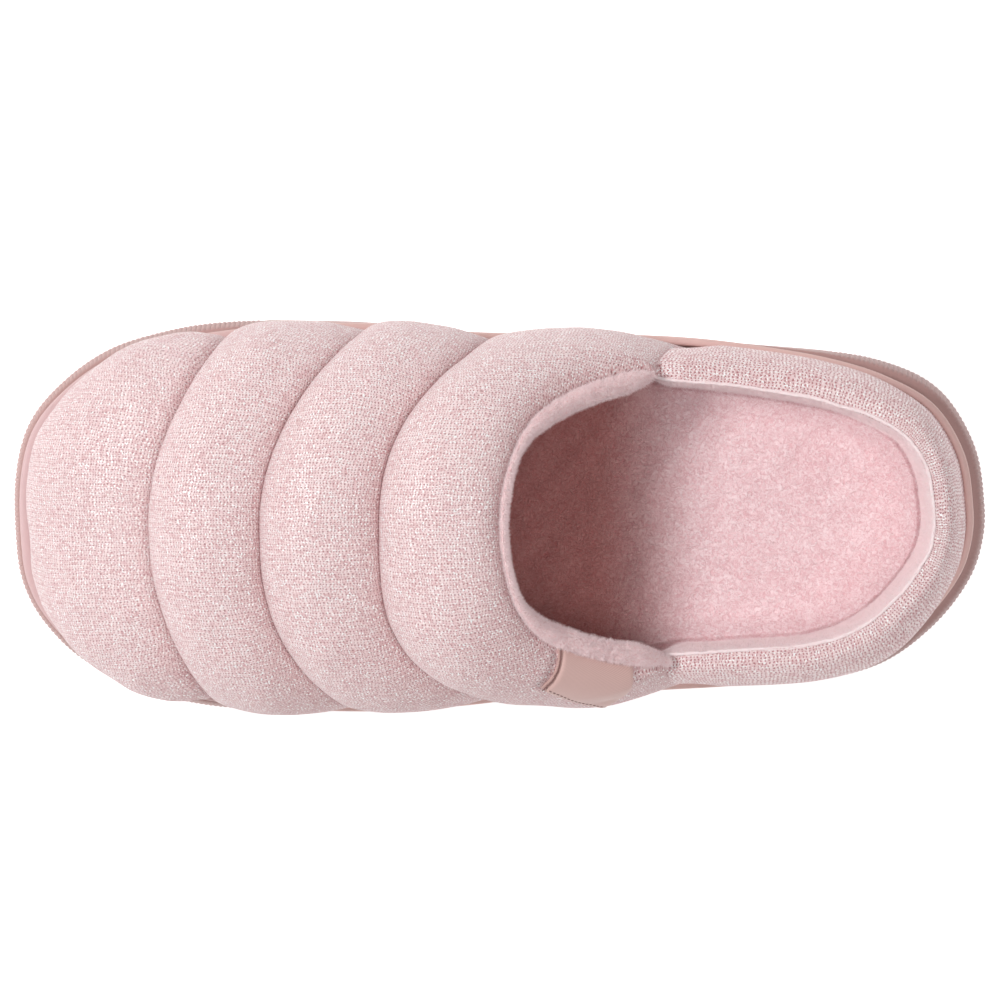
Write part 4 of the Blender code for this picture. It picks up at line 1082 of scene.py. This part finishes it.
def plush_material(name, light, deep, grain, swirl, bump_mm, painted_shade=None, sheen=0.5):
    """Short pile: light tips, deeper colour between the tufts. painted_shade: a colour multiplied in as
    painted shade towards the toe, under the vamp.
    """
    n = Nodes(name)
    place = n.place()
    fine = n.noise(place, grain, 3.0, 0.6, swirl)
    mixed = n.plus(n.times(fine, 0.85), n.times(n.noise(place, grain * 0.17), 0.15))
    middle = tuple((a + b) / 2 for a, b in zip(light, deep))
    color = n.ramp(mixed, (0.38, deep), (0.50, middle), (0.62, light))
    if painted_shade:
        # painted shade: towards the toe, under the vamp, the pile's colour is multiplied darker
        color = n.mix(n.span(n.split(place)[0], *PAINTED_THROAT_SHADE), color, n.deeper(color, painted_shade))
    return n.finish(
        Base_Color=color, Roughness=1.0, Specular_IOR_Level=0.15, Sheen_Weight=sheen, Sheen_Roughness=0.45,
        Sheen_Tint=light, Normal=n.bump(fine, bump_mm * MM, 0.9),
    )


def fibre_material(name, color, painted_shade=(1.0, 1.0, 1.0)):
    n = Nodes(name)
    # painted shade: towards the toe, under the vamp, the fibres take the darker colour
    dark = tuple(a * b for a, b in zip(color, painted_shade))
    return n.finish(
        Base_Color=n.mix(n.span(n.split(n.place())[0], *PAINTED_THROAT_SHADE), color, dark), Roughness=0.9,
        Specular_IOR_Level=0.1, Sheen_Weight=0.3, Sheen_Tint=(1.0, 0.95, 0.95),
    )


def rubber_material():
    """Satin rubber with painted shade and painted light: a deeper wall, painted darker still at the heel,
    and a lighter lip, painted as lit from above, which turns pinker at the toe.
    """
    n = Nodes("dusty_rose_rubber")
    place = n.place()
    along, row = n.split(place)[0], n.cloth()[1]
    fine = n.noise(place, 3.2, 3.0)
    wall = n.mix(n.noise(place, 0.06), (0.49, 0.30, 0.28), (0.54, 0.34, 0.32))
    # painted shade: the wall turns darker towards the heel
    wall = n.mix(n.span(along, -110.0, -60.0), n.deeper(wall, (0.84, 0.82, 0.82)), wall)
    # painted light: the lip, which faces up, is lighter than the wall, and tanner at the heel
    lip = n.mix(n.span(along, 40.0, 110.0), (0.74, 0.495, 0.46), (0.70, 0.49, 0.49))
    return n.finish(
        Base_Color=n.mix(n.span(row, *LIP_ROWS), wall, lip), Roughness=n.span(fine, 0.3, 0.7, 0.46, 0.58),
        Specular_IOR_Level=0.4, Normal=n.bump(fine, 0.00006, 0.6),
    )


def ribbon_material():
    """Fine diagonal twill."""
    n = Nodes("rose_ribbon_twill")
    uv = n.cloth()
    diagonal = n.plus(n.times(uv[0], 3.4), n.times(uv[1], 4.4))
    wave = n.times(n.plus(n.math("SINE", n.times(diagonal, math.pi)), 1.0), 0.5)
    color = n.mix(wave, (0.60, 0.385, 0.35), (0.72, 0.475, 0.44))
    return n.finish(Base_Color=color, Roughness=0.62, Sheen_Weight=0.2, Normal=n.bump(wave, 0.00005, 0.6))


# Put together


def tails_of(outer, inner, v):
    """Rear edges of the upper's tails: heights and places along the shoe, inner (-1) and outer (1) side."""
    corner = int(round(CORNER_SHARE * (v.shape[1] - 1)))
    tails = {}
    for side in (-1, 1):
        pick = slice(0, corner + 1) if side < 0 else slice(v.shape[1] - 1, v.shape[1] - corner - 2, -1)
        tails[side] = [(grid[-1, pick, 2], grid[-1, pick, 0]) for grid in (outer, inner)]
    return tails


knit = knit_material(
    "glitter_knit", wale=1.18, course=0.88, openness=0.95, centre=0.66,
    gap_color=(0.54, 0.26, 0.27), painted_slope_shade=(0.89, 0.82, 0.82),
)
collar_knit = knit_material(
    "glitter_knit_large", wale=1.38, course=1.09, openness=0.95, centre=0.85, gap_color=(0.57, 0.22, 0.235),
)
fleece = plush_material(
    "pale_fleece", light=(1.0, 0.83, 0.83), deep=(0.86, 0.59, 0.60), grain=1.3, swirl=0.8, bump_mm=0.70,
)
lining_fleece = plush_material(
    "lining_fleece", light=(1.0, 0.87, 0.88), deep=(1.0, 0.80, 0.81), grain=1.3, swirl=0.8, bump_mm=0.50,
    sheen=0.1,
)
# painted shade: the fleece inside the vamp is given a deep dark red that stands for the shadow under the
# vamp
shade_dark_inner_fleece = plush_material(
    "vamp_lining_fleece_painted_shade", light=(0.55, 0.24, 0.23), deep=(0.34, 0.12, 0.12), grain=1.2, swirl=0.6,
    bump_mm=0.35,
)
# the terry footbed gets painted shade towards the toe, under the vamp
terry = plush_material(
    "pink_terry_pile", light=(1.0, 0.80, 0.82), deep=(0.82, 0.51, 0.54), grain=1.15, swirl=1.2, bump_mm=0.60,
    painted_shade=(0.55, 0.315, 0.285),
)
pale_fibre = fibre_material("pale_fibres", (1.0, 0.85, 0.86))
# these fibres get painted shade towards the toe, under the vamp
pink_fibre = fibre_material("pink_fibres", (0.97, 0.74, 0.77), (0.78, 0.47, 0.43))

outer, inner, u, v = build_upper(knit, shade_dark_inner_fleece)
tails = tails_of(outer, inner, v)
build_collar(tails, collar_knit)
lining_rings = build_lining(tails, lining_fleece)
binding_rings = build_binding(outer, inner, v, fleece)
footbed = build_insole(terry)
build_sole(rubber_material())
# dark thread for the real stitches, also used for the painted shadow along the tab's front edge
thread_and_shadow = Nodes("tab_thread_and_shadow").finish(Base_Color=(0.22, 0.11, 0.10), Roughness=0.7)
build_tab(outer, u, ribbon_material(), thread_and_shadow)

pile("binding_fuzz", binding_rings, 90000, 41, 1.25, 0.10, pale_fibre, "binding_plush")
pile("lining_fuzz", lining_rings, 70000, 43, 0.95, 0.09, pale_fibre, "lining_plush", keep=above_footbed)
lying = (-0.5, 0.1, 0.0)
pile("footbed_fuzz", footbed, 150000, 45, 1.1, 0.09, pink_fibre, "insole_terry", lying, around=False)


def look_at(thing, position, aim, up):
    back = (Vector(position) - Vector(aim)).normalized()
    right = Vector(up).cross(back).normalized()
    over = back.cross(right)
    thing.matrix_world = Matrix.Translation(position) @ Matrix((right, over, back)).transposed().to_4x4()


# Stage: the lights' names, places, diameters in metres and watts
FLOOR_HALF = 3.0
FLOOR_Z = -0.0001
LIGHT_AIM = (0.0, 0.0, 0.03)
LIGHTS = [("key", (0.90, -0.28, 1.12), 0.38, 13.0), ("fill", (-0.50, 0.15, 1.5), 0.9, 7.0)]

# Camera: as the picture's, almost straight above, with the toe to the left
PICTURE_PIXELS = 998
FOCAL_PIXELS = 3929
SENSOR_MM = 36.0
CAMERA_AIM = (0.0006, -0.0047, 0.02)
CAMERA_PLACE = (0.0006, -0.0047 - 0.041, 1.10)


def stage():
    """A pale floor, a soft world and two lights."""
    mesh = bpy.data.meshes.new("floor")
    corners = [(-1, -1), (1, -1), (1, 1), (-1, 1)]
    mesh.from_pydata([(x * FLOOR_HALF, y * FLOOR_HALF, FLOOR_Z) for x, y in corners], [], [(0, 1, 2, 3)])
    grey, white = (0.70, 0.70, 0.70), (1.0, 1.0, 1.0)
    pale = Nodes("pale_floor")
    mesh.materials.append(
        pale.finish(Base_Color=grey, Roughness=0.9, Emission_Color=white, Emission_Strength=0.70)
    )
    link_object("floor", mesh)
    world = bpy.data.worlds.new("studio")
    world.use_nodes = True
    background = world.node_tree.nodes["Background"]
    background.inputs["Color"].default_value = (1.0, 0.985, 0.98, 1.0)
    background.inputs["Strength"].default_value = 0.32
    bpy.context.scene.world = world
    for name, place, size, power in LIGHTS:
        data = bpy.data.lights.new(name, "AREA")
        data.shape = "DISK"
        data.size = size
        data.energy = power
        look_at(link_object(name, data), place, LIGHT_AIM, (0.1, 1, 0.05))


def camera():
    data = bpy.data.cameras.new("top_camera")
    data.lens = SENSOR_MM * FOCAL_PIXELS / PICTURE_PIXELS
    data.sensor_width = SENSOR_MM
    data.clip_end = 20.0
    made = link_object("top_camera", data)
    look_at(made, CAMERA_PLACE, CAMERA_AIM, (0, -1, 0))
    bpy.context.scene.camera = made


stage()
camera()
view = bpy.context.scene.view_settings
view.view_transform = "Standard"
view.look = "None"
view.exposure = 0.0
view.gamma = 1.0
